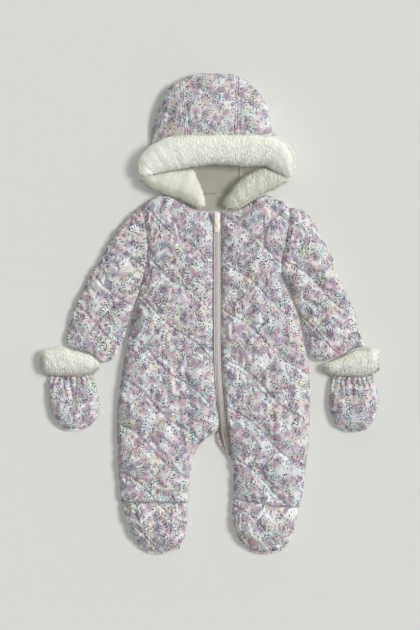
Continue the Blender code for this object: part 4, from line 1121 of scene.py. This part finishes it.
def close_holes(bm):
    """Fills each hole with a single face."""
    bmesh.ops.holes_fill(bm, edges=[e for e in bm.edges if e.is_boundary], sides=0)
    outward(bm)


def closed_panel(points, flat, height):
    """A body from a grid: its rim is extruded to one height (mm) and closed."""
    bm = bmesh.new()
    add_grid(bm, points, flat)
    rim = [edge for edge in bm.edges if edge.is_boundary]
    for vert in bmesh.ops.extrude_edge_only(bm, edges=rim)["geom"]:
        if isinstance(vert, bmesh.types.BMVert):
            vert.co.z = height * MM
    close_holes(bm)
    return bm


def closed_tube(points, flat=None):
    """A body from a grid: its first column is sewn to its last and its ends are closed."""
    bm = bmesh.new()
    columns = points.shape[1]
    sides = [vert for k, vert in enumerate(add_grid(bm, points, flat))
             if k % columns in (0, columns - 1)]
    bmesh.ops.remove_doubles(bm, verts=sides, dist=0.02 * MM)
    close_holes(bm)
    return bm


def solid_sheet(points, thickness):
    """A body from a grid that faces up, given a thickness (mm)."""
    bm = bmesh.new()
    add_grid(bm, points)
    bm.normal_update()
    if sum(face.normal.z for face in bm.faces) < 0:
        bmesh.ops.reverse_faces(bm, faces=bm.faces)
    bmesh.ops.solidify(bm, geom=bm.faces[:], thickness=thickness * MM)
    outward(bm)
    return bm


def finish_piece(made, slot, *nodes, body="garment"):
    """Puts a piece in place of its nodes and lets it move with its body."""
    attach(made, body)
    if nodes:
        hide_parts(*nodes)
    return made


made_pieces, finished = {}, {}      # the shell's pieces, and the grids of those that settled


def cloth_piece(bm, name, fill, *linings):
    """A padded piece of the shell, in place of the solid with its name."""
    made = to_object(bm, name + "_cloth", shell, *linings, keep_sharp=KEEP_SHARP)
    made_pieces[name] = finish_piece(made, "shell", name)


print("skins to finish:", ", ".join(skins))

# %% Quilted fronts, feet, sleeves and mittens
PLUMP = {"front": 0.75, "foot": 0.7, "sleeve": 0.65, "mitten": 0.6, "hood": 0.5, "back": 0.35,
         "sole": 0.35}
BESIDE_ZIP = 4.0        # how far a front's edge dives beside the zip
for name, skin in skins.items():
    kind = name.split("_")[0]
    if kind == "hood":
        continue
    base, places, flat = finer(skin.points), finer(settled[name]), finer(skin.flat)
    on_top = np.clip((base[..., 2] - SEAM_Z) / 8, 0, 1)
    if skin.phases:
        places[..., 2] += needle_lines(base[..., 0], base[..., 1], skin.phases, on_top)
    places[..., 2] -= 0.8 * creases(base[..., 0], base[..., 1]) * on_top
    if kind == "front":
        to_zip = np.abs(base[..., 0] - base[:, -1:, 0])
        places[..., 2] -= BESIDE_ZIP * np.exp(-(to_zip / 1.4) ** 2) * on_top
    if kind == "mitten":
        places[..., 2] -= wrist_gathers(base)
    finished[name] = places
    if kind in ("sleeve", "mitten"):
        bm = closed_tube(places, flat)
    else:
        bm = closed_panel(places, flat, SEAM_Z + GAP / 2)
    cloth_piece(bm, name, PLUMP[kind])
print("padded pieces:", ", ".join(made_pieces))

# %% Backs and soles
under_panels = {
    "back_right": Panel(RIGHT_BODY, RIGHT_YOKE, RIGHT_ANKLE, RIGHT_BACK_CENTER).under(111, 33),
    "back_left": Panel(LEFT_BODY, LEFT_YOKE, LEFT_ANKLE, LEFT_BACK_CENTER).under(111, 33),
    "sole_right": foot(RIGHT_FOOT, RIGHT_ANKLE, RIGHT_TOE, sole=True).under(25, 33),
    "sole_left": foot(LEFT_FOOT, LEFT_ANKLE, LEFT_TOE, sole=True).under(25, 33),
}
for name, places in under_panels.items():
    flat = laid_flat(places, places.shape[1] - 1, 0, -1, np.array((500, 0)))
    cloth_piece(closed_panel(places, flat, SEAM_Z - GAP / 2), name, PLUMP[name.split("_")[0]])
print("backs and soles:", ", ".join(under_panels))

# %% Hood walls
for name in ("hood_right", "hood_center", "hood_left"):
    skin = skins[name]
    places = finer(settled[name])
    normal = grid_normals(places)
    for edge in (0, -1):
        away = np.linalg.norm(places - places[[edge]], axis=-1, keepdims=True)
        groove = np.exp(-((away - TOPSTITCH) / GROOVE_WIDTH) ** 2)
        places = places - normal * STITCH_GROOVE * groove
    places[..., 2] = np.maximum(places[..., 2], 0)
    finished[name] = places
    rows, columns = places.shape[:2]
    bm = bmesh.new()
    outer = add_grid(bm, places, finer(skin.flat))
    outside = len(bm.faces)
    inner = add_grid(bm, finer(skin.inner), finer(skin.flat))
    bm.faces.ensure_lookup_table()
    for face in bm.faces[outside:]:
        face.material_index = 1
    index = np.arange(rows * columns).reshape(rows, columns)
    rim = [*index[0], *index[1:, -1], *index[-1, -2::-1], *index[-2:0:-1, 0]]
    for a, b in zip(rim, rim[1:] + rim[:1]):
        bm.faces.new((outer[a], outer[b], inner[b], inner[a]))
    outward(bm)
    cloth_piece(bm, name, PLUMP["hood"], fleece)
print("the hood's panels:", [len(made_pieces[n].data.polygons) for n in made_pieces if "hood" in n])

# %% [markdown]
# ## Imitation fur
#
# Fur trim is a roll of knitted pile, combed across the roll. Real hair would take
# thousands of strands for each centimetre, more than a model needs. So a soft core gives the
# roll its body, and small tapered tufts, flattened like locks of hair, stand all over it. A
# short Geometry Nodes graph scatters the tufts from a fixed seed, leans each along the
# combing direction, and turns them into one mesh. Where the roll faces up, the tufts' shading
# is blended with the roll's own curve, so that they read as one soft mass and not as scales.

# %% One tuft
TUFT_LENGTH = 9.0
TUFT_WIDTH = 1.35       # half its width at the root
TUFT_FLAT = 0.4         # its thickness, as a share of its width
STAND = 0.22            # how much it stands up, for each mm that it lies along
SOFTNESS = 0.45         # how far its shading follows the roll's own curve


def make_tuft():
    """Three sides, two segments and a tip, flattened and a little bent toward +X."""
    bm = bmesh.new()
    half = TUFT_LENGTH / 2 * MM
    bmesh.ops.create_cone(bm, cap_ends=False, segments=3, radius1=TUFT_WIDTH * MM,
                          radius2=0.7 * TUFT_WIDTH * MM, depth=half,
                          matrix=Matrix.Translation((0, 0, half / 2)))
    top = [edge for edge in bm.edges if all(v.co.z > 0.9 * half for v in edge.verts)]
    tip = [v for v in bmesh.ops.extrude_edge_only(bm, edges=top)["geom"]
           if isinstance(v, bmesh.types.BMVert)]
    bmesh.ops.pointmerge(bm, verts=tip, merge_co=(0, 0, 2 * half))
    for vert in bm.verts:
        vert.co.x = TUFT_FLAT * vert.co.x + 0.1 * vert.co.z ** 2 / (2 * half)
    made = to_object(bm, "tuft", pile, keep_sharp=180)
    made.hide_render = True
    return made


tuft = make_tuft()
print("triangles in a tuft:", sum(len(p.vertices) - 2 for p in tuft.data.polygons))


# %% A graph that covers a core with tufts
def fur_graph(per_mm2, seed):
    """Points over the core, a tuft on each, all turned along the core's lay."""
    tree = bpy.data.node_groups.new("covering of pile", "GeometryNodeTree")
    tree.interface.new_socket("Geometry", in_out="INPUT", socket_type="NodeSocketGeometry")
    tree.interface.new_socket("Geometry", in_out="OUTPUT", socket_type="NodeSocketGeometry")
    core = add(tree, "NodeGroupInput").outputs[0]
    points = add(tree, "GeometryNodeDistributePointsOnFaces",
                 {"Mesh": core, "Density": per_mm2 / MM ** 2, "Seed": seed})
    lay = add(tree, "GeometryNodeInputNamedAttribute", {"Name": "lay"},
              data_type="FLOAT_VECTOR").outputs[0]
    upright = add(tree, "GeometryNodeStoreNamedAttribute", {
        "Geometry": points.outputs["Points"], "Name": "upright",
        "Value": points.outputs["Normal"]}, data_type="FLOAT_VECTOR").outputs[0]
    clump = add(tree, "ShaderNodeTexNoise", {"Scale": 1 / (9 * MM), "Detail": 1.0}).outputs[1]
    clump = add(tree, "ShaderNodeVectorMath", {0: clump, 1: (0.5, 0.5, 0.5)},
                operation="SUBTRACT").outputs[0]
    loose = add(tree, "FunctionNodeRandomValue", {0: (-0.1, -0.1, -0.1), 1: (0.1, 0.1, 0.1),
                                                  "Seed": seed + 1}, data_type="FLOAT_VECTOR")
    lean = add(tree, "ShaderNodeVectorMath",
               {0: points.outputs["Normal"], 1: (STAND, STAND, STAND), 2: lay},
               operation="MULTIPLY_ADD").outputs[0]
    lean = add(tree, "ShaderNodeVectorMath", {0: clump, 1: (0.35, 0.35, 0.35), 2: lean},
               operation="MULTIPLY_ADD").outputs[0]
    lean = add(tree, "ShaderNodeVectorMath", {0: lean, 1: loose.outputs[0]},
               operation="ADD").outputs[0]
    stand = add(tree, "FunctionNodeAlignRotationToVector", {"Vector": lean}, axis="Z").outputs[0]
    stand = add(tree, "FunctionNodeAlignRotationToVector",
                {"Rotation": stand, "Vector": lay}, axis="X", pivot_axis="Z").outputs[0]
    size = add(tree, "FunctionNodeRandomValue", {2: 0.7, 3: 1.15, "Seed": seed + 2},
               data_type="FLOAT").outputs[1]
    one = add(tree, "GeometryNodeObjectInfo", {"Object": tuft}).outputs["Geometry"]
    tufts = add(tree, "GeometryNodeInstanceOnPoints", {
        "Points": upright, "Instance": one, "Rotation": stand, "Scale": size})
    real = add(tree, "GeometryNodeRealizeInstances", {0: tufts.outputs[0]}).outputs[0]
    both = add(tree, "GeometryNodeJoinGeometry", {0: core})
    tree.links.new(real, both.inputs[0])
    add(tree, "NodeGroupOutput", {0: both.outputs[0]})
    return tree


def cover_with_fur(core, per_mm2, seed, material=pile):
    """Runs the graph and keeps its result as the piece's own mesh."""
    step = core.modifiers.new("pile", "NODES")
    step.node_group = fur_graph(per_mm2, seed)
    graph = bpy.context.evaluated_depsgraph_get()
    mesh = bpy.data.meshes.new_from_object(core.evaluated_get(graph))
    core.modifiers.clear()
    old, core.data = core.data, mesh
    mesh.materials.clear()
    mesh.materials.append(material)
    bpy.data.meshes.remove(old)
    count = len(mesh.vertices)
    own, upright = np.empty(3 * count, np.float32), np.empty(3 * count, np.float32)
    mesh.vertex_normals.foreach_get("vector", own)
    mesh.attributes["upright"].data.foreach_get("vector", upright)
    own, upright = own.reshape(-1, 3), upright.reshape(-1, 3)
    share = SOFTNESS * np.clip(1.5 * upright[:, 2:], 0, 1)
    blend = share * upright + (1 - share) * own
    mesh.normals_split_custom_set_from_vertices(
        blend / np.maximum(np.linalg.norm(blend, axis=1, keepdims=True), 1e-6))


FUR_PER_MM2 = 0.3       # tufts
print("tufts on each square centimetre:", round(100 * FUR_PER_MM2))

# %% Fur rolls round the hood
PILE_DEPTH = 2.5        # how far the tufts stand over the core
ROLL_RING = 49          # points round a roll, the first of them twice


def fur_ripple(along, turn, seed):
    """Soft waves over a core, in mm: bundles of pile that lie together."""
    return (0.9 * np.sin(along / 5.1 + 2.0 * np.sin(turn + seed))
            + 0.7 * np.sin(along / 2.9 - 1.5 * np.sin(2 * turn) + 2 * seed))


def round_the_section(places):
    """At each point of a tube, the direction to the next point of its section."""
    way = np.roll(places[:, :-1], -1, axis=1) - np.roll(places[:, :-1], 1, axis=1)
    way = np.concatenate([way, way[:, :1]], axis=1)
    return way / np.maximum(np.linalg.norm(way, axis=-1, keepdims=True), 1e-6)


def comb(mesh, places, ways):
    """Stores which way the pile lies, as an attribute of the core's points."""
    lay = mesh.attributes.new("lay", "FLOAT_VECTOR", "POINT")
    flat, ways = places.reshape(-1, 3), ways.reshape(-1, 3)
    for vert, entry in zip(mesh.vertices, lay.data):
        near = int(np.argmin(np.abs(flat - np.array(vert.co) / MM).sum(axis=1)))
        entry.vector = ways[near]


def fur_piece(name, places, ways, seed, material):
    """Closes a core, combs it, covers it with pile and puts it in place of its solid."""
    made = to_object(closed_tube(places), name + "_pile", pile)
    comb(made.data, places, ways)
    cover_with_fur(made, FUR_PER_MM2, seed, material)
    finish_piece(made, "fur", name)
    return made


def fur_roll(name, rows, seed, length, material=pile):
    """A roll whose section runs from its outer to its inner edge."""
    stations = np.linspace(0, 1, len(rows["z"]))
    fine = np.linspace(0, 1, max(48, int(length / 3)))
    column = {key: smooth(stations, values, fine)[:, None] for key, values in rows.items()}
    turns = np.linspace(0, 2 * np.pi, ROLL_RING)[None]
    half_x = (column["outer_x"] - column["inner_x"]) / 2
    half_y = (column["outer_y"] - column["inner_y"]) / 2
    wide = np.hypot(half_x, half_y)
    ends = rise(np.minimum(fine, 1 - fine)[:, None] * length, 11)
    less = PILE_DEPTH - 0.4 * fur_ripple(fine[:, None] * length, turns, seed)
    part = np.maximum(1 - less / wide, 0.3) * (0.35 + 0.65 * ends)
    tall = np.maximum(column["half"] - less, 4) * (0.35 + 0.65 * ends)
    out = np.sign(np.cos(turns)) * np.abs(np.cos(turns)) ** 0.85
    up = np.sign(np.sin(turns)) * np.abs(np.sin(turns)) ** 0.7
    x = column["outer_x"] - half_x + half_x * part * out
    y = column["outer_y"] - half_y + half_y * part * out
    z = column["z"] + tall * up
    places = np.stack([x, y, z], axis=-1)
    return fur_piece(name, places, round_the_section(places), seed, material)


# The two rolls in the neck take the darker pile: painted shade for the roll over the hood that lies
# above them.
furs = [fur_roll("fur_hood_top", FUR_TOP, 3, 350.0),
        fur_roll("fur_hood_right", FUR_RIGHT, 5, 120.0, shaded_neck_pile),
        fur_roll("fur_hood_left", FUR_LEFT, 7, 120.0, shaded_neck_pile)]
print("rolls of fur:", ", ".join(made.name for made in furs))


# %% Fur cuffs
CORE_HEIGHT = CUFF_HEIGHT - 5.0     # the core leaves room for its pile
CUFF_MARGIN = 4.0                   # and so does its outline at both ends
CUFF_EDGE = 3.0                     # and along its two edges
CUFF_LIFT = 4.5                     # of its underside, which keeps the pile off the floor


def fur_cuff(name, rows, seed):
    """A turned-back band round the wrist."""
    ends = rows["x"][0], rows["x"][-1]

    def plan(along, across):
        along, across = np.meshgrid(along, across, indexing="ij")
        inset = CUFF_MARGIN / abs(ends[1] - ends[0])
        x = ends[0] + (ends[1] - ends[0]) * (inset + (1 - 2 * inset) * across)
        upper = smooth(rows["x"], rows["upper"], x) - CUFF_EDGE
        lower = smooth(rows["x"], rows["lower"], x) + CUFF_EDGE
        deep = upper - lower
        width = np.full_like(x, abs(ends[1] - ends[0]))
        return x, upper - deep * along, width, along * deep, (1 - along) * deep

    def height(along):
        return np.full_like(along, CORE_HEIGHT)

    points, _, near, _ = flat_tube(plan, height, np.linspace(0, 1, 19), 70, 0.5, 0.45, 15, 20)
    low_side = points[..., 2] < SEAM_Z
    points[..., 2] = np.where(low_side, points[..., 2] + CUFF_LIFT, points[..., 2])
    along, across = np.indices(points.shape[:2])
    points[..., 2] += 0.25 * fur_ripple(3 * across, 0.2 * along, seed) * ~low_side * rise(near, 12)
    way = np.gradient(points, axis=0)
    way /= np.linalg.norm(way, axis=-1, keepdims=True)
    return fur_piece(name, points, way, seed, cuff_pile)


furs += [fur_cuff("fur_cuff_right", RIGHT_CUFF, 11), fur_cuff("fur_cuff_left", LEFT_CUFF, 13)]
bpy.data.objects.remove(tuft)
print("faces of pile:", {made.name: len(made.data.polygons) for made in furs})

# %% [markdown]
# ## Fleece lining
#
# Two flat pieces of fleece show in the neck. Each is a real sheet: a grid with soft waves
# and a raised seam, given its thickness with bmesh's solidify.

# %% Linings
FLEECE_THICK = 2.0
HOOD_LINING = ((-46, 272), (82, 272), (82, 205), (-46, 205))
NECK_LINING = ((-62, 203), (84, 203), (44, 175.5), (-20, 175.5))


def lining(name, corners, low, seams):
    """A sheet of fleece between four corners, with ridges where it is seamed."""
    (ax, ay), (bx, by), (cx, cy), (dx, dy) = corners
    s, t = np.meshgrid(np.linspace(0, 1, 25), np.linspace(0, 1, 61), indexing="ij")
    x = (1 - s) * (ax + (bx - ax) * t) + s * (dx + (cx - dx) * t)
    y = ay + (dy - ay) * s
    z = low + FLEECE_THICK + 0.5 * np.sin(x / 9.0) * np.cos(y / 13.0)
    for seam in seams:
        z += 2.0 * np.exp(-((x - seam) / 2.2) ** 2) - 1.2 * np.exp(-((x - seam) / 5) ** 2)
    bm = solid_sheet(np.stack([x, y, z], axis=-1), FLEECE_THICK)
    made = finish_piece(to_object(bm, name + "_fleece", fleece), "lining", name)
    return made


linings = [lining("hood_lining", HOOD_LINING, HOOD_WALL + GAP, (-25.8, 52.2)),
           lining("neck_lining", NECK_LINING, SEAM_Z + GAP, ())]
print("linings:", ", ".join(made.name for made in linings))

# %% [markdown]
# ## The zip
#
# A zip is two woven tapes with a nylon coil sewn to each, a slider that closes them and a
# pull. The coil's turns are made once each, by placing and bevelling small blocks down
# both tapes. The slider is a bevelled plate with a bridge; the pull hangs on the bridge
# as its own piece, because it swings on a joint.

# %% Tapes and coil
TAPE_THICK = 1.4
TOOTH_PITCH = 2.2
SLIDER_Y = 147.0
SLIDER_LENGTH = 17.0
SLIDER_WIDTH = 10.5
ZIP_OPENS = 155.0       # above this the tapes part
PARTED_DROP = 1.5       # how far the right tape sinks for each mm that it is parted


def zip_at(y):
    """Where the zip's line lies at a height of the body, and how high."""
    return smooth(ZIP["y"], ZIP["x"], y), smooth(ZIP["y"], ZIP["z"], y)


def part_zip(y, side):
    """How far a tape stands off the zip's line above the slider."""
    t = np.clip((y - ZIP_OPENS) / (ZIP["y"][0] - ZIP_OPENS), 0, 1)
    return side * (0.5 if side > 0 else 8.0) * t ** 1.2


def zip_tape(name, side):
    """One tape: a fold down its middle, an edge that dives under the front, a lower end
    that turns away down the leg."""
    y = np.linspace(ZIP["y"][0], ZIP["y"][-1], 216)[:, None]
    wide = smooth(ZIP["y"], ZIP["left" if side > 0 else "right"], y)
    across = np.linspace(0, 1, 29)[None]
    x, z = zip_at(y)
    parted = part_zip(y, side)
    x = x + parted + side * (0.3 + (wide - 0.3) * across)
    z = z + 0.3 - 0.9 * across ** 3 + 0.15 * np.sin(y / 4.7) - PARTED_DROP * np.maximum(-parted, 0)
    z -= 0.9 * np.exp(-((across - 0.58) / 0.09) ** 2)
    z -= (9 if side > 0 else 7) * np.clip((across - 0.8) / 0.2, 0, 1) ** 2
    z += (0.4 if side > 0 else -1) * smooth(ZIP["y"], ZIP["fall"], y) * across
    bm = solid_sheet(np.stack(np.broadcast_arrays(x, y, z), axis=-1), TAPE_THICK)
    return finish_piece(to_object(bm, name + "_woven", tape), "zip", name)


def zip_coil(name, side):
    """The coil's turns: one bevelled block for each."""
    bm = bmesh.new()
    for y in np.arange(ZIP["y"][-1] + 2, ZIP["y"][0] - 2, TOOTH_PITCH):
        x, z = (float(v) for v in zip_at(np.array(y)))
        parted = float(part_zip(y, side))
        x += parted + side * 1.1
        z -= PARTED_DROP * max(-parted, 0)
        shift = TOOTH_PITCH / 4 * side
        bmesh.ops.create_cube(bm, size=1, matrix=Matrix.LocRotScale(
            Vector((x, y + shift, z + 0.75)) * MM, None, Vector((2.4, 1.15, 0.9)) * MM))
    bmesh.ops.bevel(bm, geom=bm.edges[:], offset=0.25 * MM, offset_type="OFFSET",
                    segments=1, profile=0.5, material=-1, affect="EDGES")
    return finish_piece(to_object(bm, name, coil), "zip")


tapes = [zip_tape("zip_tape_right", -1), zip_tape("zip_tape_left", 1)]
coils = [zip_coil("coil_right", -1), zip_coil("coil_left", 1)]
print("zip:", ", ".join(made.name for made in tapes + coils))


# %% Slider
SLIDER_HEIGHT = 3.6
SLIDER_UP = 0.9         # its underside above the zip's line
BRIDGE_WIDTH = 2.4


def bevelled(bm, size):
    """Rounds every edge by a size in mm."""
    bmesh.ops.bevel(bm, geom=bm.edges[:], offset=size * MM, offset_type="OFFSET",
                    segments=3, profile=0.5, material=-1, affect="EDGES", clamp_overlap=True)


def slab(bm, outline, along):
    """Fills an outline (places in mm) with a face and extrudes it along a vector (mm)."""
    face = bm.faces.new([bm.verts.new([value * MM for value in place]) for place in outline])
    lifted = bmesh.ops.extrude_face_region(bm, geom=[face])["geom"]
    bmesh.ops.translate(bm, vec=[value * MM for value in along],
                        verts=[v for v in lifted if isinstance(v, bmesh.types.BMVert)])
    outward(bm)


x0, z0 = (float(v) for v in zip_at(np.array(SLIDER_Y)))
low = z0 + SLIDER_UP
bm = bmesh.new()
half, wide = SLIDER_LENGTH / 2, SLIDER_WIDTH / 2
slab(bm, [(x0 + dx * wide, SLIDER_Y + dy * half, low) for dx, dy in (
    (-0.72, -1), (0.72, -1), (0.86, -0.2), (1, 0.5), (0.78, 1), (0, 0.86), (-0.78, 1),
    (-1, 0.5), (-0.86, -0.2))], (0, 0, SLIDER_HEIGHT))
bevelled(bm, 0.8)
bridge_path = ((-0.05, 0.4), (0.05, 2.6), (0.3, 3.9), (0.7, 3.9), (0.93, 2.6), (1.0, 0.4))
outer = [(SLIDER_Y + a * half, low + SLIDER_HEIGHT + b) for a, b in bridge_path]
inner = [(y + (0.9 if y < SLIDER_Y + half / 2 else -0.9), z - (1.0 if z > low + 5 else 0.6))
         for y, z in reversed(outer)]
slab(bm, [(x0 - BRIDGE_WIDTH / 2, y, z) for y, z in outer + inner], (BRIDGE_WIDTH, 0, 0))
finish_piece(to_object(bm, "slider_body", enamel), "slider", "zip_slider")
print("the slider's middle, mm:", round(x0, 1), SLIDER_Y, round(low, 1))

# %% Pull
PULL_THICK = 1.4
bm = bmesh.new()
pull_low, pull_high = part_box("zip_pull")
px, _, pz = ((a + b) / 2 / MM for a, b in zip(pull_low, pull_high))
pull_start, pull_end = pull_low.y / MM, pull_high.y / MM
wide = (pull_high.x - pull_low.x) / 2 / MM
slab(bm, [(px + dx * wide, y, pz - PULL_THICK / 2) for dx, y in (
    (-0.7, pull_start), (0.7, pull_start), (0.75, pull_start + 5.5), (1, pull_start + 9),
    (1, pull_end - 3), (0.6, pull_end), (-0.6, pull_end), (-1, pull_end - 3),
    (-1, pull_start + 9), (-0.75, pull_start + 5.5))], (0, 0, PULL_THICK))
bevelled(bm, 0.45)
finish_piece(to_object(bm, "pull_plate", enamel), "slider", "zip_pull", body="pull_tab")
print("the pull is", round(pull_end - pull_start, 1), "mm long")

# %% Chin guard
GUARD_START, GUARD_WIDE = 21.5, 22.5        # its edge beside the zip, and its width
GUARD_TOP, GUARD_DEEP = 174.0, 19.0
GUARD_THICK = 1.2
s, t = np.meshgrid(np.linspace(0, 1, 15), np.linspace(0, 1, 17), indexing="ij")
front_tree = BVHTree.FromObject(made_pieces["front_left"], bpy.context.evaluated_depsgraph_get())
x = GUARD_START + GUARD_WIDE * t
y = GUARD_TOP - GUARD_DEEP * s - 1.5 * (2 * t - 1) ** 2
z = np.empty_like(x)
for index in np.ndindex(x.shape):
    hit = front_tree.ray_cast(Vector((x[index] * MM, y[index] * MM, 0.2)), Vector((0, 0, -1)))
    z[index] = hit[0].z / MM if hit[0] else np.nan
z = np.where(np.isnan(z), np.nanmax(z), z)
for _ in range(6):
    edged = np.pad(z, 1, mode="edge")
    z = np.maximum(z, (edged[:-2, 1:-1] + edged[2:, 1:-1] + edged[1:-1, :-2] + edged[1:-1, 2:]) / 4)
z += 0.8 + 0.6 * rise(np.minimum.reduce([s, 1 - s, t, 1 - t]) * 20, 4)
bm = solid_sheet(np.stack([x, y, z], axis=-1), GUARD_THICK)
guard = finish_piece(to_object(bm, "guard_patch", shell), "shell", "chin_guard")
print("the chin guard lies at", round(float(z.min()), 1), "to", round(float(z.max()), 1), "mm")

# %% [markdown]
# ## Thread
#
# Every seam that shows is sewn again on top. Each stitch is a short round bit of thread
# that sits in its groove. The quilting's lines are known from above, so a ray straight
# down finds the cloth under each of them. A seam's topstitching runs beside the piece's
# edge, at a fixed distance measured along the cloth.

# %% Stitches
STITCH_PITCH = 3.2
STITCH_LONG = 2.3
THREAD_RADIUS = 0.3
BESIDE_FRONT_EDGE = 3.4         # from a front's edge to the stitches along the zip
STITCH_FACES = 20               # of the icosphere that each stitch starts from


def sew(bm, path):
    """Lays stitches along a path of places in mm."""
    run = np.linalg.norm(np.diff(path, axis=0), axis=1).cumsum()
    run = np.concatenate([[0], run])
    for start in np.arange(0.5 * STITCH_PITCH, run[-1] - STITCH_LONG, STITCH_PITCH):
        a, b = (Vector([np.interp(t, run, path[:, k]) for k in range(3)])
                for t in (start, start + STITCH_LONG))
        bmesh.ops.create_icosphere(bm, subdivisions=1, radius=1, matrix=Matrix.LocRotScale(
            (a + b) / 2 * MM, (b - a).to_track_quat("Z", "Y"),
            Vector((THREAD_RADIUS, THREAD_RADIUS, STITCH_LONG / 2)) * MM))


def quilt_paths(made, phases):
    """The quilting's lines where they run over the top of one piece."""
    tree = BVHTree.FromObject(made, bpy.context.evaluated_depsgraph_get())
    places = np.array([vert.co[0] for vert in made.data.vertices]) / MM
    xs = np.arange(places.min(), places.max(), 1.5)
    bend = QUILT_SLOPE * xs + QUILT_WAVE * np.sin(2 * np.pi * xs / QUILT_WAVE_RUN)
    for phase, way in zip(phases, (-1, 1)):
        for step in range(-8, 9):
            path = []
            for x, y in zip(xs, phase + QUILT_PITCH * step + way * bend):
                hit = tree.ray_cast(Vector((x, y, 200)) * MM, Vector((0, 0, -1)))[0]
                if hit and hit.z > 1.6 * SEAM_Z * MM:
                    path.append(hit / MM)
                elif path:
                    yield np.array(path)
                    path = []
            if path:
                yield np.array(path)


def beside_edge(grid, distance):
    """A line over a grid at a distance, in mm, from its first row."""
    run = np.linalg.norm(np.diff(grid, axis=0), axis=-1).cumsum(axis=0)
    run = np.pad(run, ((1, 0), (0, 0)))
    return np.array([[np.interp(distance, run[:, k], grid[:, k, axis]) for axis in range(3)]
                     for k in range(grid.shape[1])])


bm = bmesh.new()
for name, skin in skins.items():
    if skin.phases:
        for path in quilt_paths(made_pieces[name], skin.phases):
            if len(path) > 3:
                sew(bm, path)
quilted = len(bm.faces) // STITCH_FACES
for name in ("front_right", "front_left"):
    sew(bm, beside_edge(finished[name].swapaxes(0, 1)[::-1], BESIDE_FRONT_EDGE))
crown_end = 2 * (CROWN_POINTS - 1)
for name, turned in (("hood_right", -1), ("hood_center", 1), ("hood_center", -1),
                     ("hood_left", 1)):
    sew(bm, beside_edge(finished[name][::turned, :crown_end], TOPSTITCH))
thread_piece = finish_piece(to_object(bm, "stitches", thread), "shell")
print("stitches: quilting", quilted, "in all", len(thread_piece.data.polygons) // STITCH_FACES)

# %% [markdown]
# ## Floor, light and camera
#
# The suit lies on a pale seamless floor. Two even lights come from the right: a soft key
# casts the shadows, and a low fill without a shadow brings out the quilting by its gentle
# shade. The pale surroundings do the rest. The camera looks straight down through a long
# lens from far away, which keeps the outline nearly free of perspective.

# %% Floor
FLOOR_HALF = 12.0       # metres from the middle to an edge
bm = bmesh.new()
bmesh.ops.create_grid(bm, x_segments=1, y_segments=1, size=FLOOR_HALF)
bmesh.ops.translate(bm, vec=(0, 0, -0.2 * MM), verts=bm.verts)
floor_paper = new_material("matt background paper", "#DBDCD7", 0.9)[0]
floor = to_object(bm, "floor", floor_paper)
print("the floor is", 2 * FLOOR_HALF, "m wide")

# %% Light
world = bpy.data.worlds.new("studio")
bpy.context.scene.world = world
world.use_nodes = True
surroundings = world.node_tree.nodes["Background"].inputs
surroundings["Color"].default_value = linear("#F1F2F2")
surroundings["Strength"].default_value = 0.38


def far_light(name, azimuth, elevation, softness, strength):
    """A light so far away that it is even all over; `softness` is its width in degrees."""
    lamp = bpy.data.lights.new(name, "SUN")
    lamp.energy, lamp.angle = strength, np.radians(softness)
    made = bpy.data.objects.new(name, lamp)
    az, el = np.radians(azimuth), np.radians(elevation)
    place = Vector((np.cos(az) * np.cos(el), np.sin(az) * np.cos(el), np.sin(el)))
    made.rotation_euler = (-place).to_track_quat("-Z", "Y").to_euler()
    made.location = 3 * place
    bpy.context.scene.collection.objects.link(made)
    return made


key = far_light("key", azimuth=12, elevation=62, softness=16, strength=1.69)
low_fill = far_light("low fill", azimuth=30, elevation=20, softness=30, strength=1.48)
low_fill.data.use_shadow = False
bpy.context.scene.view_settings.view_transform = "Standard"
print("lights:", [(lamp.name, round(lamp.data.energy, 2)) for lamp in (key, low_fill)])

# %% Camera
CAMERA_HEIGHT = 9.0     # metres over the floor
FRAME_HEIGHT = 1.071    # metres of floor from the top to the bottom of the frame
SENSOR_HEIGHT = 36
view = bpy.data.cameras.new("camera")
view.sensor_fit, view.sensor_height, view.sensor_width = "VERTICAL", SENSOR_HEIGHT, 24
camera = bpy.data.objects.new("camera", view)
camera.location = (0.00085, -0.0017, CAMERA_HEIGHT)
view.lens = SENSOR_HEIGHT * CAMERA_HEIGHT / FRAME_HEIGHT
view.clip_end = 50
bpy.context.scene.collection.objects.link(camera)
bpy.context.scene.camera = camera
print("lens, mm:", round(view.lens))
